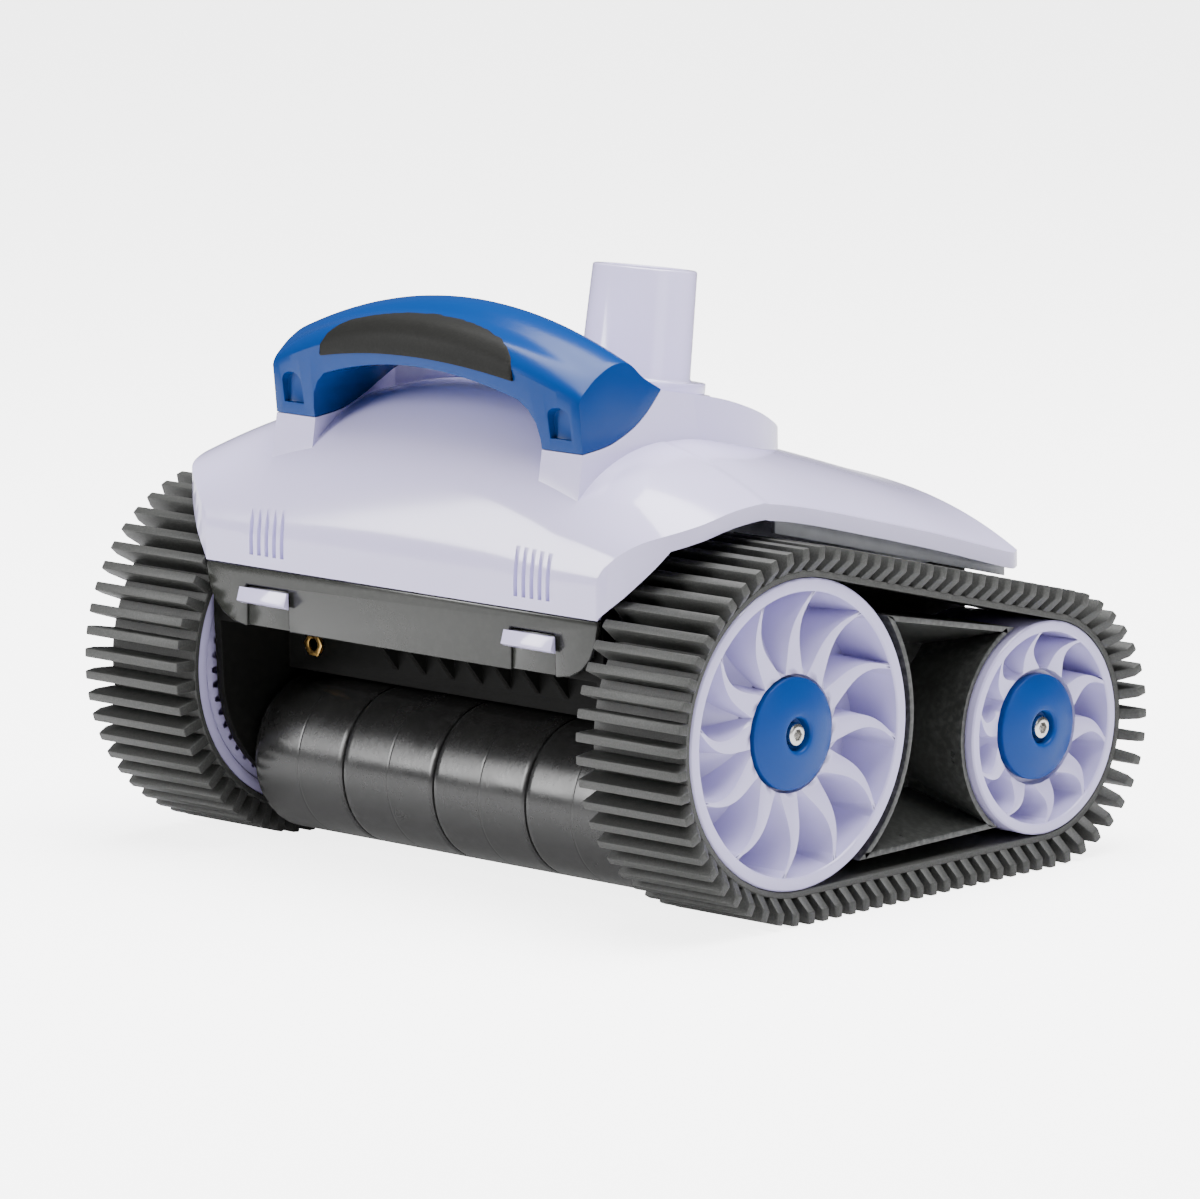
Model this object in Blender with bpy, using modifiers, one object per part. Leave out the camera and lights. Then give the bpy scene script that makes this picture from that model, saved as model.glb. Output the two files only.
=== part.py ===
"""Tracked pool cleaner: every separate piece as its own closed solid.

Metres, +Z up. X runs across the machine, -Y is the front, the origin is on the
floor under the middle of the machine.
"""
import math

import bmesh
import bpy
from mathutils import Euler, Matrix, Vector

# ---------------------------------------------------------------- sizes
AXLE_SPACING = 0.1315        # front axle to rear axle
FRONT_WHEEL_R = 0.0563
REAR_WHEEL_R = 0.0396
BELT_GAP = 0.0003            # belt inner face to wheel
BELT_THICK = 0.0024
LUG_HEIGHT = 0.0091
LUG_COUNT = 80
LUG_BASE = 0.0043            # lug thickness where it leaves the belt
LUG_TIP = 0.0034
LUG_FLARE = 0.0052           # how far a lug stands past the belt's outer edge
BELT_WIDTH = 0.0452

BODY_HALF = 0.1008           # half width of the casing between the tracks
BODY_WALL = 0.0030
COVER_WALL = 0.0030
FENDER_LIP = 0.0060
PANEL_THICK = 0.0030
FIT = 0.0003                 # gap between pieces that touch

TRACK_INNER = BODY_HALF + 0.0024         # inner edge of the lugs
BELT_OUTER = TRACK_INNER + BELT_WIDTH
WHEEL_FACE = BELT_OUTER + 0.0001         # outer face of the wheels
FENDER_HALF = BODY_HALF + 0.0282         # half width over the mudguards

ROLLER_R = 0.0294
ROLLER_Z = ROLLER_R + 0.0047
SLEEVE_COUNT = 4
SLEEVE_GAP = 0.0003
SLEEVE_LENGTH = (2 * (BODY_HALF - 0.00635) + SLEEVE_GAP) / SLEEVE_COUNT - SLEEVE_GAP
ROLLER_CLEAR = 0.0031

TURRET_R = 0.0789
POST_OUTER = 0.0789
POST_INNER = 0.0584

SPIGOT_TILT = math.radians(8.8)
SPIGOT_R = 0.0195            # 38 mm hose cuff fits over it, with a slight taper
SPIGOT_BASE_R = 0.0206
SPIGOT_BORE = 0.0165
SPIGOT_RISE = 0.0412
FLANGE_R = 0.0265
FLANGE_THICK = 0.0040
NECK_R = 0.0215
NECK_DROP = 0.0270

RING_TEETH = 54
RING_MODULE = 2 * (FRONT_WHEEL_R - 0.00905) / RING_TEETH
SMALL_PINION_TEETH = 14
GEAR_TEETH = 26
GEAR_MODULE = 0.0020
DRIVE_PINION_TEETH = 10
BACKLASH = 0.0004
PRESSURE_ANGLE = math.radians(20.0)
RING_X = (TRACK_INNER + 0.0011, TRACK_INNER + 0.0088)
GEAR_X = (BODY_HALF - 0.0148, BODY_HALF - 0.0083)
SHAFT_R = 0.0030

WHEEL_RIM = 0.0040
AXLE_R = 0.0060
BUSH_R = AXLE_R + 0.0026
HUB_BORE = BUSH_R + FIT
ROUND_STEPS = 16             # sides of the small turned pieces
RUNNING_FIT = 0.0002         # play of a shaft in its bearing
FRONT_CAP_R = 0.0204
REAR_CAP_R = 0.0195
HUB_R = FRONT_CAP_R + 0.0018
GUSSET_COUNT = 7
GUSSET_FIRST = -0.0400
GUSSET_PITCH = 0.0147
PAN_Z = 0.0100               # underside of the casing
SCREW_HEAD_R = 0.0042
STEM_R = 0.0024

INLET_HALF = 0.0520          # half width of the suction inlet in the floor pan
PINION_SHAFT_R = 0.0060
LATCH_OUTER = BODY_HALF - 0.0210         # the latch window, measured from the middle
LATCH_INNER = LATCH_OUTER - 0.0223
LATCH_TRAVEL = 0.0010        # gap behind the finger tab, for the push
INSERT_X = BODY_HALF - 0.0178            # brass inserts in the back of the roller bay

# ---------------------------------------------------------------- worked out
LUG_TIP_R_FRONT = FRONT_WHEEL_R + BELT_GAP + BELT_THICK + LUG_HEIGHT
LUG_TIP_R_REAR = REAR_WHEEL_R + BELT_GAP + BELT_THICK + LUG_HEIGHT
FRONT_AXLE_Y = -AXLE_SPACING / 2 + (LUG_TIP_R_FRONT - LUG_TIP_R_REAR) / 2
REAR_AXLE_Y = FRONT_AXLE_Y + AXLE_SPACING
FRONT_AXLE_Z = LUG_TIP_R_FRONT
REAR_AXLE_Z = LUG_TIP_R_REAR
FRONT_AXLE = (FRONT_AXLE_Y, FRONT_AXLE_Z)
REAR_AXLE = (REAR_AXLE_Y, REAR_AXLE_Z)
BELT_SLOPE = math.asin((FRONT_WHEEL_R - REAR_WHEEL_R)
                       / math.hypot(AXLE_SPACING, FRONT_AXLE_Z - REAR_AXLE_Z))

RING_PITCH_R = RING_TEETH * RING_MODULE / 2
SMALL_PITCH_R = SMALL_PINION_TEETH * RING_MODULE / 2
GEAR_PITCH_R = GEAR_TEETH * GEAR_MODULE / 2
DRIVE_PITCH_R = DRIVE_PINION_TEETH * GEAR_MODULE / 2
RING_DIRECTION = math.radians(40.0)     # from the front axle to the reduction axle
TRAIN_DIRECTION = math.radians(8.0)     # from the reduction axle to the turbine shaft
REDUCTION_AXLE = (FRONT_AXLE_Y + (RING_PITCH_R - SMALL_PITCH_R) * math.cos(RING_DIRECTION),
                  FRONT_AXLE_Z + (RING_PITCH_R - SMALL_PITCH_R) * math.sin(RING_DIRECTION))
TURBINE_AXLE = (REDUCTION_AXLE[0] + (GEAR_PITCH_R + DRIVE_PITCH_R) * math.cos(TRAIN_DIRECTION),
                REDUCTION_AXLE[1] + (GEAR_PITCH_R + DRIVE_PITCH_R) * math.sin(TRAIN_DIRECTION))

# along the machine: the nose goes by the front axle, the tail by the rear axle
FRONT_Y = FRONT_AXLE_Y - 0.0540          # front face of the cover and of the front panel
REAR_Y = REAR_AXLE_Y + 0.0105
CREST_Y = FRONT_AXLE_Y + 0.0040          # where the cover stops rising
ROLLER_Y = FRONT_AXLE_Y - 0.0084
BAY_BACK = FRONT_AXLE_Y - 0.0160         # upright back of the roller bay
TURRET_Y = FRONT_AXLE_Y + 0.0330
POST_FRONT = FRONT_AXLE_Y - 0.0375
THROAT_Y = TURBINE_AXLE[0] + 0.0034
INLET_FRONT = TURBINE_AXLE[0] - 0.0231
INLET_BACK = TURBINE_AXLE[0] + 0.0089

# heights go by the top of the front tracks
TRACK_TOP = 2 * LUG_TIP_R_FRONT


def nose(distance):
    """A place along the machine, behind the front axle."""
    return FRONT_AXLE_Y + distance


def tail(distance):
    """A place along the machine, behind the rear axle."""
    return REAR_AXLE_Y + distance


def over(height):
    """A height above the top of the front tracks."""
    return TRACK_TOP + height


SEAM_Z = TRACK_TOP - 0.0250              # joint between cover and front panel
PANEL_BOTTOM = TRACK_TOP - 0.0477
LATCH_TOP = TRACK_TOP - 0.0322
INSERT_Z = TRACK_TOP - 0.0602
POST_TOP = TRACK_TOP + 0.0301
FLANGE_POINT = Vector((0.0, FRONT_AXLE_Y + 0.0710, TRACK_TOP + 0.0381))
THROAT_TOP = FLANGE_POINT.z - 0.0318

HOUSING_R = 0.0365
HOUSING_WALL = 0.0025
HOUSING_HALF = 0.0560
ROTOR_R = 0.0315
THROAT_R = 0.0195

# local X, Y, Z of a sideways piece are the world's Y, Z, X
SIDEWAYS = Matrix(((0, 0, 1), (1, 0, 0), (0, 1, 0))).to_euler()

for old in list(bpy.data.objects):
    bpy.data.objects.remove(old, do_unlink=True)

PARTS = bpy.data.collections.new("pool_cleaner")
CUTTERS = bpy.data.collections.new("cutters")
for collection in (PARTS, CUTTERS):
    bpy.context.scene.collection.children.link(collection)


# ---------------------------------------------------------------- materials
def material(name, colour, roughness, metallic=0.0):
    made = bpy.data.materials.new(name)
    made.use_nodes = True
    shader = made.node_tree.nodes["Principled BSDF"]
    shader.inputs["Base Color"].default_value = (*colour, 1.0)
    shader.inputs["Roughness"].default_value = roughness
    shader.inputs["Metallic"].default_value = metallic
    return made


WHITE = material("white_plastic", (0.72, 0.70, 0.80), 0.25)
BLUE = material("blue_plastic", (0.005, 0.09, 0.38), 0.25)
BLACK = material("black_plastic", (0.025, 0.026, 0.024), 0.22)
GREY = material("grey_plastic", (0.42, 0.43, 0.46), 0.40)
RUBBER = material("track_rubber", (0.045, 0.047, 0.044), 0.75)
ROLLER = material("roller_rubber", (0.022, 0.022, 0.023), 0.28)
GRIP = material("grip_rubber", (0.05, 0.05, 0.048), 0.5)
ACETAL = material("acetal_gears", (0.75, 0.75, 0.72), 0.4)
STEEL = material("stainless_steel", (0.62, 0.62, 0.62), 0.25, 1.0)
BRASS = material("brass", (0.75, 0.52, 0.2), 0.3, 1.0)


# ---------------------------------------------------------------- makers
def place(obj, name, mat, centre=(0.0, 0.0, 0.0), rotation=(0.0, 0.0, 0.0)):
    obj.name = name
    obj.location = centre
    obj.rotation_euler = rotation
    obj.data.materials.clear()
    if mat:
        obj.data.materials.append(mat)
    PARTS.objects.link(obj)
    return obj


def from_bmesh(bm, name, mat, centre=(0.0, 0.0, 0.0), rotation=(0.0, 0.0, 0.0)):
    mesh = bpy.data.meshes.new(name)
    bm.to_mesh(mesh)
    bm.free()
    return place(bpy.data.objects.new(name, mesh), name, mat, centre, rotation)


def box(name, low, high, mat=None):
    """A block between two corners, its origin in its middle."""
    low, high = Vector(low), Vector(high)
    bm = bmesh.new()
    bmesh.ops.create_cube(bm, size=1.0)
    bmesh.ops.scale(bm, vec=high - low, verts=bm.verts)
    return from_bmesh(bm, name, mat, (low + high) / 2)


def turned(name, profile, centre, mat=None, side=1, steps=24, rotation=SIDEWAYS, offset=0.0):
    """A turned piece: profile is a closed or axis-to-axis run of (radius, height).

    The profile runs down its outer side. side=-1 mirrors the heights.
    """
    points = [(r, side * h) for r, h in profile]
    if side < 0:
        points.reverse()
    solid = profile[0][0] < 1e-9 and profile[-1][0] < 1e-9
    bm = bmesh.new()
    verts = [bm.verts.new((r, 0.0, h)) for r, h in points]
    for a, b in zip(verts, verts[1:]):
        bm.edges.new((a, b))
    if not solid:
        bm.edges.new((verts[-1], verts[0]))
    obj = from_bmesh(bm, name, mat, centre, rotation)
    screw = obj.modifiers.new("turn", "SCREW")
    screw.steps = screw.render_steps = steps
    screw.use_merge_vertices = True
    screw.merge_threshold = 1e-5
    screw.use_smooth_shade = True
    return obj


def sideways(axle, x=0.0):
    return (x, axle[0], axle[1])


def plate(name, outlines, low, high, mat=None, rotation=SIDEWAYS, centre=(0.0, 0.0, 0.0)):
    """A flat outline (with any holes) extruded from low to high along its local Z."""
    curve = bpy.data.curves.new(name, "CURVE")
    curve.dimensions = "2D"
    curve.fill_mode = "BOTH"
    curve.extrude = (high - low) / 2
    for outline in outlines:
        spline = curve.splines.new("POLY")
        spline.points.add(len(outline) - 1)
        for point, (u, v) in zip(spline.points, outline):
            point.co = (u, v, 0.0, 1.0)
        spline.use_cyclic_u = True
    flat = bpy.data.objects.new(name + "_outline", curve)
    PARTS.objects.link(flat)
    bpy.context.view_layer.update()
    shape = flat.evaluated_get(bpy.context.evaluated_depsgraph_get())
    mesh = bpy.data.meshes.new_from_object(shape)
    bpy.data.objects.remove(flat, do_unlink=True)
    bm = bmesh.new()
    bm.from_mesh(mesh)
    bpy.data.meshes.remove(mesh)
    bmesh.ops.remove_doubles(bm, verts=bm.verts, dist=1e-6)
    bmesh.ops.translate(bm, vec=(0.0, 0.0, (low + high) / 2), verts=bm.verts)
    bmesh.ops.recalc_face_normals(bm, faces=bm.faces)
    return from_bmesh(bm, name, mat, centre, rotation)


def mirrored(low, high, side):
    """The stretch low to high along X on the right, or its mirror on the left."""
    return (low, high) if side > 0 else (-high, -low)


def boolean(target, tool, operation):
    """Cut, join or meet target with tool, which becomes a cutter."""
    step = target.modifiers.new(tool.name, "BOOLEAN")
    step.operation = operation
    step.solver = "EXACT"
    step.object = tool
    tool.hide_render = True
    tool.display_type = "WIRE"
    PARTS.objects.unlink(tool)
    CUTTERS.objects.link(tool)
    return target


def cut(target, tool):
    return boolean(target, tool, "DIFFERENCE")


def join(target, tool):
    return boolean(target, tool, "UNION")


def meet(target, tool):
    return boolean(target, tool, "INTERSECT")


def circle(centre, radius, count=24, start=0.0, stop=2 * math.pi, close=False):
    """Points round a circle or along an arc; an arc includes both its ends."""
    full = abs(abs(stop - start) - 2 * math.pi) < 1e-9
    steps = count if full else count - 1
    return [(centre[0] + radius * math.cos(start + (stop - start) * i / steps),
             centre[1] + radius * math.sin(start + (stop - start) * i / steps))
            for i in range(count)]


def between(value, rows):
    """Straight-line reading of a short table of (place, value) rows."""
    if value <= rows[0][0]:
        return rows[0][1]
    for (a, va), (b, vb) in zip(rows, rows[1:]):
        if value <= b:
            return va + (vb - va) * (value - a) / (b - a)
    return rows[-1][1]


# ---------------------------------------------------------------- gears
def involute(angle):
    return math.tan(angle) - angle


def gear_outline(teeth, module, tip_add, root_drop, thickness, phase):
    """Outline of a spur gear, four points a tooth, one tooth centred on phase."""
    pitch_r = teeth * module / 2
    base_r = pitch_r * math.cos(PRESSURE_ANGLE)
    half_pitch = thickness / 2 / pitch_r + involute(PRESSURE_ANGLE)

    def half_angle(radius):
        radius = max(radius, base_r * 1.0005)
        return half_pitch - involute(math.acos(base_r / radius))

    tip_r, root_r = pitch_r + tip_add, pitch_r - root_drop
    points = []
    for tooth in range(teeth):
        centre = phase + 2 * math.pi * tooth / teeth
        for radius, sign in ((root_r, -1), (tip_r, -1), (tip_r, 1), (root_r, 1)):
            angle = centre + sign * half_angle(radius)
            points.append((radius * math.cos(angle), radius * math.sin(angle)))
    return points


# ---------------------------------------------------------------- track belts
def belt_point(length, offset):
    """A point and its outward angle at a length along the belt, starting under the front axle.

    offset is the distance outwards from the wheels' surface.
    """
    straight = math.sqrt(AXLE_SPACING ** 2 + (FRONT_AXLE_Z - REAR_AXLE_Z) ** 2
                         - (FRONT_WHEEL_R - REAR_WHEEL_R) ** 2)
    middle = BELT_GAP + BELT_THICK / 2
    rear_turn = math.pi - 2 * BELT_SLOPE
    front_turn = math.pi + 2 * BELT_SLOPE
    rear_length = (REAR_WHEEL_R + middle) * rear_turn
    front_length = (FRONT_WHEEL_R + middle) * front_turn
    total = 2 * straight + rear_length + front_length
    length %= total
    if length < straight:
        angle, centre, radius, along = -math.pi / 2, FRONT_AXLE, FRONT_WHEEL_R, length
    elif length < straight + rear_length:
        turned_by = (length - straight) / (REAR_WHEEL_R + middle)
        angle, centre, radius, along = -math.pi / 2 + turned_by, REAR_AXLE, REAR_WHEEL_R, 0.0
    elif length < 2 * straight + rear_length:
        angle = -math.pi / 2 + rear_turn
        centre, radius, along = REAR_AXLE, REAR_WHEEL_R, length - straight - rear_length
    else:
        turned_by = (length - 2 * straight - rear_length) / (FRONT_WHEEL_R + middle)
        angle, centre, radius, along = -math.pi / 2 + rear_turn + turned_by, FRONT_AXLE, FRONT_WHEEL_R, 0.0
    reach = radius + offset
    point = (centre[0] + reach * math.cos(angle) - along * math.sin(angle),
             centre[1] + reach * math.sin(angle) + along * math.cos(angle))
    return point, angle, total


def belt_inside():
    """Inner outline of the belt: an arc round each wheel, joined by straight runs."""
    front = circle(FRONT_AXLE, FRONT_WHEEL_R + BELT_GAP, 28, math.pi / 2 - 2 * BELT_SLOPE, math.pi * 1.5)
    rear = circle(REAR_AXLE, REAR_WHEEL_R + BELT_GAP, 18, -math.pi / 2, math.pi / 2 - 2 * BELT_SLOPE)
    return front + rear


def belt_outside():
    """Outer outline of the belt, four points a lug: root, tip, tip, root."""
    root, tip = BELT_GAP + BELT_THICK, BELT_GAP + BELT_THICK + LUG_HEIGHT
    total = belt_point(0.0, 0.0)[2]
    outline = []
    for index in range(LUG_COUNT):
        for height, half in ((root, -LUG_BASE / 2), (tip, -LUG_TIP / 2), (tip, LUG_TIP / 2), (root, LUG_BASE / 2)):
            (y, z), angle, _ = belt_point(total * index / LUG_COUNT, height)
            outline.append((y - half * math.sin(angle), z + half * math.cos(angle)))
    return outline


def track_belt(label, side):
    """Belt with its lugs in one piece; the lugs' tips lean out past the belt's edge."""
    low, high = mirrored(TRACK_INNER, BELT_OUTER, side)
    belt = plate("track_belt_" + label, [belt_outside(), belt_inside()], low, high, RUBBER)
    tips = {(round(y, 5), round(z, 5)) for i, (y, z) in enumerate(belt_outside()) if i % 4 in (1, 2)}
    outer_edge = side * BELT_OUTER
    for vertex in belt.data.vertices:
        spot = (round(vertex.co.x, 5), round(vertex.co.y, 5))
        if abs(vertex.co.z - outer_edge) < 1e-5 and spot in tips:
            vertex.co.z = side * (BELT_OUTER + LUG_FLARE)


# ---------------------------------------------------------------- wheels
def spoke_outlines(count, inner_r, outer_r, twist, thick_in, thick_out):
    """Curved vanes from hub to rim, each a thin crescent."""
    outlines = []
    for index in range(count):
        start = 2 * math.pi * index / count
        edges = [], []
        for step in range(3):
            share = step / 2
            radius = inner_r + (outer_r - inner_r) * share
            angle = start + twist * share ** 1.5
            half = (thick_in + (thick_out - thick_in) * share) / 2 / radius
            for edge, sign in zip(edges, (-1, 1)):
                edge.append((radius * math.cos(angle + sign * half), radius * math.sin(angle + sign * half)))
        outlines.append(edges[0] + edges[1][::-1])
    return outlines


def wheel(label, side, axle, radius, spokes, steps):
    """Drum with a web, a hub and curved spokes; the belt runs on the drum."""
    rim, web, hub = WHEEL_RIM, (WHEEL_FACE - 0.0275, WHEEL_FACE - 0.0245), HUB_R
    back = TRACK_INNER + 0.0006
    boss = HUB_BORE + 0.0041
    pocket = WHEEL_FACE - 0.0073
    profile = [(radius, WHEEL_FACE), (radius, back), (radius - rim, back), (radius - rim, web[0]),
               (boss, web[0]), (boss, back + 0.004), (HUB_BORE, back + 0.004), (HUB_BORE, pocket),
               (hub, pocket), (hub, web[1]), (radius - rim, web[1]), (radius - rim, WHEEL_FACE)]
    obj = turned(label, profile, sideways(axle), WHITE, side, steps)
    low, high = mirrored(web[1] - 0.0008, WHEEL_FACE - 0.0020, side)
    vanes = plate(label + "_spokes", spoke_outlines(spokes, hub - 0.001, radius - rim + 0.001, 0.32, 0.0060, 0.0026),
                  low, high, rotation=SIDEWAYS, centre=sideways(axle))
    join(obj, vanes)
    return obj


def ring_gear(label, side):
    outer_r = FRONT_WHEEL_R - WHEEL_RIM - 0.0004
    low, high = mirrored(*RING_X, side)
    spaces = gear_outline(RING_TEETH, RING_MODULE, 0.0020, 0.0015,
                          math.pi * RING_MODULE / 2 + BACKLASH, RING_DIRECTION)
    plate("ring_gear_" + label, [circle((0.0, 0.0), outer_r, 36), spaces], low, high, WHITE,
          centre=sideways(FRONT_AXLE))


def hub_cap(name, side, axle, radius):
    """Shallow cone with a well for the screw head."""
    well_r, screw_r = SCREW_HEAD_R + 0.0020, SCREW_HEAD_R - 0.0006
    face, edge, foot, well_x = (WHEEL_FACE - depth for depth in (0.0003, 0.0033, 0.0070, 0.0043))
    profile = [(well_r, face), (radius, edge), (radius, foot), (screw_r, foot), (screw_r, well_x), (well_r, well_x)]
    turned(name, profile, sideways(axle), BLUE, side, 20)


def wheel_screw(name, side, axle):
    """Button head socket screw: stem in the axle's end, head in the cap's well."""
    socket, head, tip = 0.0015, (WHEEL_FACE - 0.0040, WHEEL_FACE - 0.0010), WHEEL_FACE - 0.0175
    profile = [(socket, head[1]), (SCREW_HEAD_R * 0.75, head[1]), (SCREW_HEAD_R, head[0] + 0.001),
               (SCREW_HEAD_R, head[0]), (STEM_R, head[0]), (STEM_R, tip), (0.0, tip)]
    bottom = [(0.0, head[1] - 0.002), (socket, head[1] - 0.002)]
    turned(name, bottom + profile, sideways(axle), STEEL, side, 8)


def axle(name, side, axle_centre):
    """Fixed stub axle, flanged against the casing and tapped for the wheel screw."""
    tapped, blind, end, flange = STEM_R + FIT, WHEEL_FACE - 0.0185, WHEEL_FACE - 0.0077, AXLE_R + 0.0025
    inner = BODY_HALF - BODY_WALL - 0.0012
    profile = [(0.0, blind), (tapped, blind), (tapped, end), (AXLE_R, end),
               (AXLE_R, BODY_HALF + 0.0011), (flange, BODY_HALF + 0.0011), (flange, BODY_HALF + FIT),
               (AXLE_R, BODY_HALF + FIT), (AXLE_R, inner), (0.0, inner)]
    turned(name, profile, sideways(axle_centre), STEEL, side, ROUND_STEPS)


def bush(name, side, axle_centre):
    inner = (AXLE_R + RUNNING_FIT) / math.cos(math.pi / ROUND_STEPS)
    low, high = WHEEL_FACE - 0.0400, WHEEL_FACE - 0.0085
    profile = [(BUSH_R, high), (BUSH_R, low), (inner, low), (inner, high)]
    turned(name, profile, sideways(axle_centre), ACETAL, side, ROUND_STEPS)


# ---------------------------------------------------------------- cover
def rim_height(y):
    """Top of the mudguard's edge along the side of the machine."""
    return between(y, [(nose(-0.0400), over(0.0050)), (nose(-0.0299), over(0.0102)), (nose(-0.0119), over(0.0132)),
                       (nose(0.0011), over(0.0130)), (nose(0.0219), over(0.0093)), (nose(0.0588), over(-0.0002)),
                       (tail(-0.0351), over(-0.0106)), (tail(-0.0024), over(-0.0204)), (REAR_Y, over(-0.0240))])


def half_width(y):
    """Half width of the cover's plan: it flares from the casing to the mudguards."""
    return between(y, [(FRONT_Y, BODY_HALF), (nose(-0.0486), BODY_HALF + 0.0107), (nose(-0.0400), BODY_HALF + 0.0227),
                       (nose(-0.0299), FENDER_HALF - 0.0007), (nose(-0.0176), FENDER_HALF), (REAR_Y - 0.004, FENDER_HALF), (REAR_Y, FENDER_HALF - 0.003)])


def cover_height(x, y, inset=0.0):
    """Top of the main shell: an elliptical nose, a crest and a long crowned deck.

    inset moves the foot of the nose back, for the inside of the shell.
    """
    across = min(1.0, abs(x) / FENDER_HALF)
    hump = 0.0095 * max(0.0, 1 - (x / (POST_OUTER - 0.0009)) ** 2)
    crest = over(0.0130) + 0.0223 * (1 - across ** 3) + hump
    if y < CREST_Y:
        start = over(-0.0182) + 0.0060 * across ** 2
        share = (CREST_Y - y) / (CREST_Y - FRONT_Y - inset)
        return start + (crest - start) * math.sqrt(max(0.0, 1 - share ** 2))
    rim = rim_height(y)
    crown = between(y, [(CREST_Y, 0.0223), (nose(0.0219), 0.0255), (REAR_Y, 0.0240)])
    fade = max(0.0, 1 - (y - CREST_Y) / 0.06)
    return rim + crown * (1 - across ** 3) + hump * fade


def cover_solid(name, drop, inset, mat=None):
    """Everything under the shell's surface, lowered by drop and drawn in by inset."""
    columns, rows = 12, 16
    bm = bmesh.new()
    bmesh.ops.create_grid(bm, x_segments=columns, y_segments=rows, size=1.0)
    for v in bm.verts:
        share = (v.co.y + 1) / 2
        y = FRONT_Y + inset + (REAR_Y - FRONT_Y - 2 * inset) * share ** 1.6
        x = v.co.x * (half_width(y - inset * (1 - 2 * share)) - inset)
        v.co = Vector((x, y, cover_height(x, y, inset) - drop))
    skin = bmesh.ops.extrude_face_region(bm, geom=bm.faces[:])["geom"]
    for v in skin:
        if isinstance(v, bmesh.types.BMVert):
            v.co.z = over(-0.0462) - drop
    bmesh.ops.recalc_face_normals(bm, faces=bm.faces)
    return from_bmesh(bm, name, mat)


TURRET_TOP = [(nose(y), over(z)) for y, z in (
    (0.0030, 0.0489), (0.0200, 0.0454), (0.0340, 0.0422), (0.0460, 0.0385),
    (0.0610, 0.0331), (0.0745, 0.0276), (0.0974, 0.0178), (0.1174, 0.0078))]
HANDLE_SEAM = [(POST_FRONT, POST_TOP)] + [(nose(y), over(z)) for y, z in (
    (-0.0250, 0.0316), (-0.0180, 0.0337), (-0.0110, 0.0368), (-0.0054, 0.0405), (-0.0011, 0.0444), (0.0032, 0.0489))]


def turret_solid(name, inset, bottom):
    """Round platform behind the handle."""
    top = [(y, z - inset) for y, z in TURRET_TOP]
    front = nose(0.0014) + inset
    outline = ([(front, bottom), (front, over(0.0338) - inset), (nose(0.0074), over(0.0453) - inset)] + top[1:]
               + [(nose(0.1194), bottom)])
    radius = TURRET_R - inset
    rear_arc = circle((0.0, TURRET_Y), radius, 21, 0.0, math.pi)
    plan = [(-radius, front), (radius, front)] + rear_arc
    body = plate(name, [outline], -radius - 0.02, radius + 0.02)
    trim = plate(name + "_plan", [plan], 0.0, over(0.1), rotation=(0.0, 0.0, 0.0))
    return meet(body, trim)


def post_solid(name, side, inset, bottom):
    """One of the two posts that carry the handle."""
    low, high = mirrored(POST_INNER + inset, POST_OUTER - inset, side)
    top = [(y, z - inset) for y, z in HANDLE_SEAM[1:]]
    rear = nose(0.0314)
    outline = ([(POST_FRONT - 0.0035 + inset, bottom), (POST_FRONT - 0.0035 + inset, over(0.0098)),
                (POST_FRONT + inset, POST_TOP - inset)] + top
               + [(y, z - inset) for y, z in TURRET_TOP[1:3]] + [(rear, bottom)])
    return plate(name, [outline], low, high)


def spigot_frame():
    """Rotation of the swivel axis, which leans back."""
    return Euler((-SPIGOT_TILT, 0.0, 0.0))


def swivel_turned(name, profile, mat=None, steps=26):
    return turned(name, profile, FLANGE_POINT, mat, 1, steps, spigot_frame())


def top_cover():
    cover = cover_solid("top_cover", 0.0, 0.0, WHITE)
    join(cover, turret_solid("turret_outer", 0.0, over(-0.0162)))
    for side, label in ((1, "left"), (-1, "right")):
        join(cover, post_solid("post_" + label, side, 0.0, over(-0.0112)))
    cut(cover, cover_solid("cover_inside", COVER_WALL, COVER_WALL))
    cut(cover, turret_solid("turret_inside", COVER_WALL, over(-0.0362)))
    boss = [(FLANGE_R, -0.0044), (FLANGE_R, -0.0200), (0.0, -0.0200), (0.0, -0.0044)]
    join(cover, swivel_turned("swivel_boss", boss[3:] + boss[:3]))
    well = [(0.0, 0.0300), (FLANGE_R + 0.0012, 0.0300), (FLANGE_R + 0.0012, -FLANGE_THICK - FIT),
            (0.0, -FLANGE_THICK - FIT)]
    cut(cover, swivel_turned("flange_well", well))
    hole = [(0.0, 0.0100), (NECK_R + FIT, 0.0100), (NECK_R + FIT, -0.0400), (0.0, -0.0400)]
    cut(cover, swivel_turned("swivel_hole", hole))
    ahead, behind = FRONT_Y - 0.0186, REAR_Y + 0.0154
    stations = (nose(-0.0400), nose(-0.0299), nose(-0.0119), nose(0.0011), nose(0.0219), nose(0.0588),
                tail(-0.0351), tail(-0.0024))
    arch = ([(ahead, SEAM_Z - 0.0020), (ahead, SEAM_Z - 0.0012), (nose(-0.0486), over(-0.0122))]
            + [(y, rim_height(y) - FENDER_LIP) for y in stations]
            + [(behind, over(-0.0342)), (behind, over(-0.0562)), (ahead, over(-0.0562))])
    for side, label in ((1, "left"), (-1, "right")):
        low, high = mirrored(BODY_HALF + 0.0004, FENDER_HALF + 0.0110, side)
        cut(cover, plate("wheel_arch_" + label, [arch], low, high))
    reach = FENDER_HALF + 0.0200
    cut(cover, box("seam_cut", (-reach, ahead, over(-0.0862)), (reach, behind, SEAM_Z)))


# ---------------------------------------------------------------- casing
def bay_outline(radius, ceiling, back, front, bottom):
    """Side view of the roller bay: flat ceiling, upright back, a curve round the roller."""
    top = math.acos(max(-1.0, (back - ROLLER_Y) / radius))
    arc = circle((ROLLER_Y, ROLLER_Z), radius, 9, top, -0.62)
    return [(front, ceiling), (back, ceiling)] + arc + [(arc[-1][0], bottom)]


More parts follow.
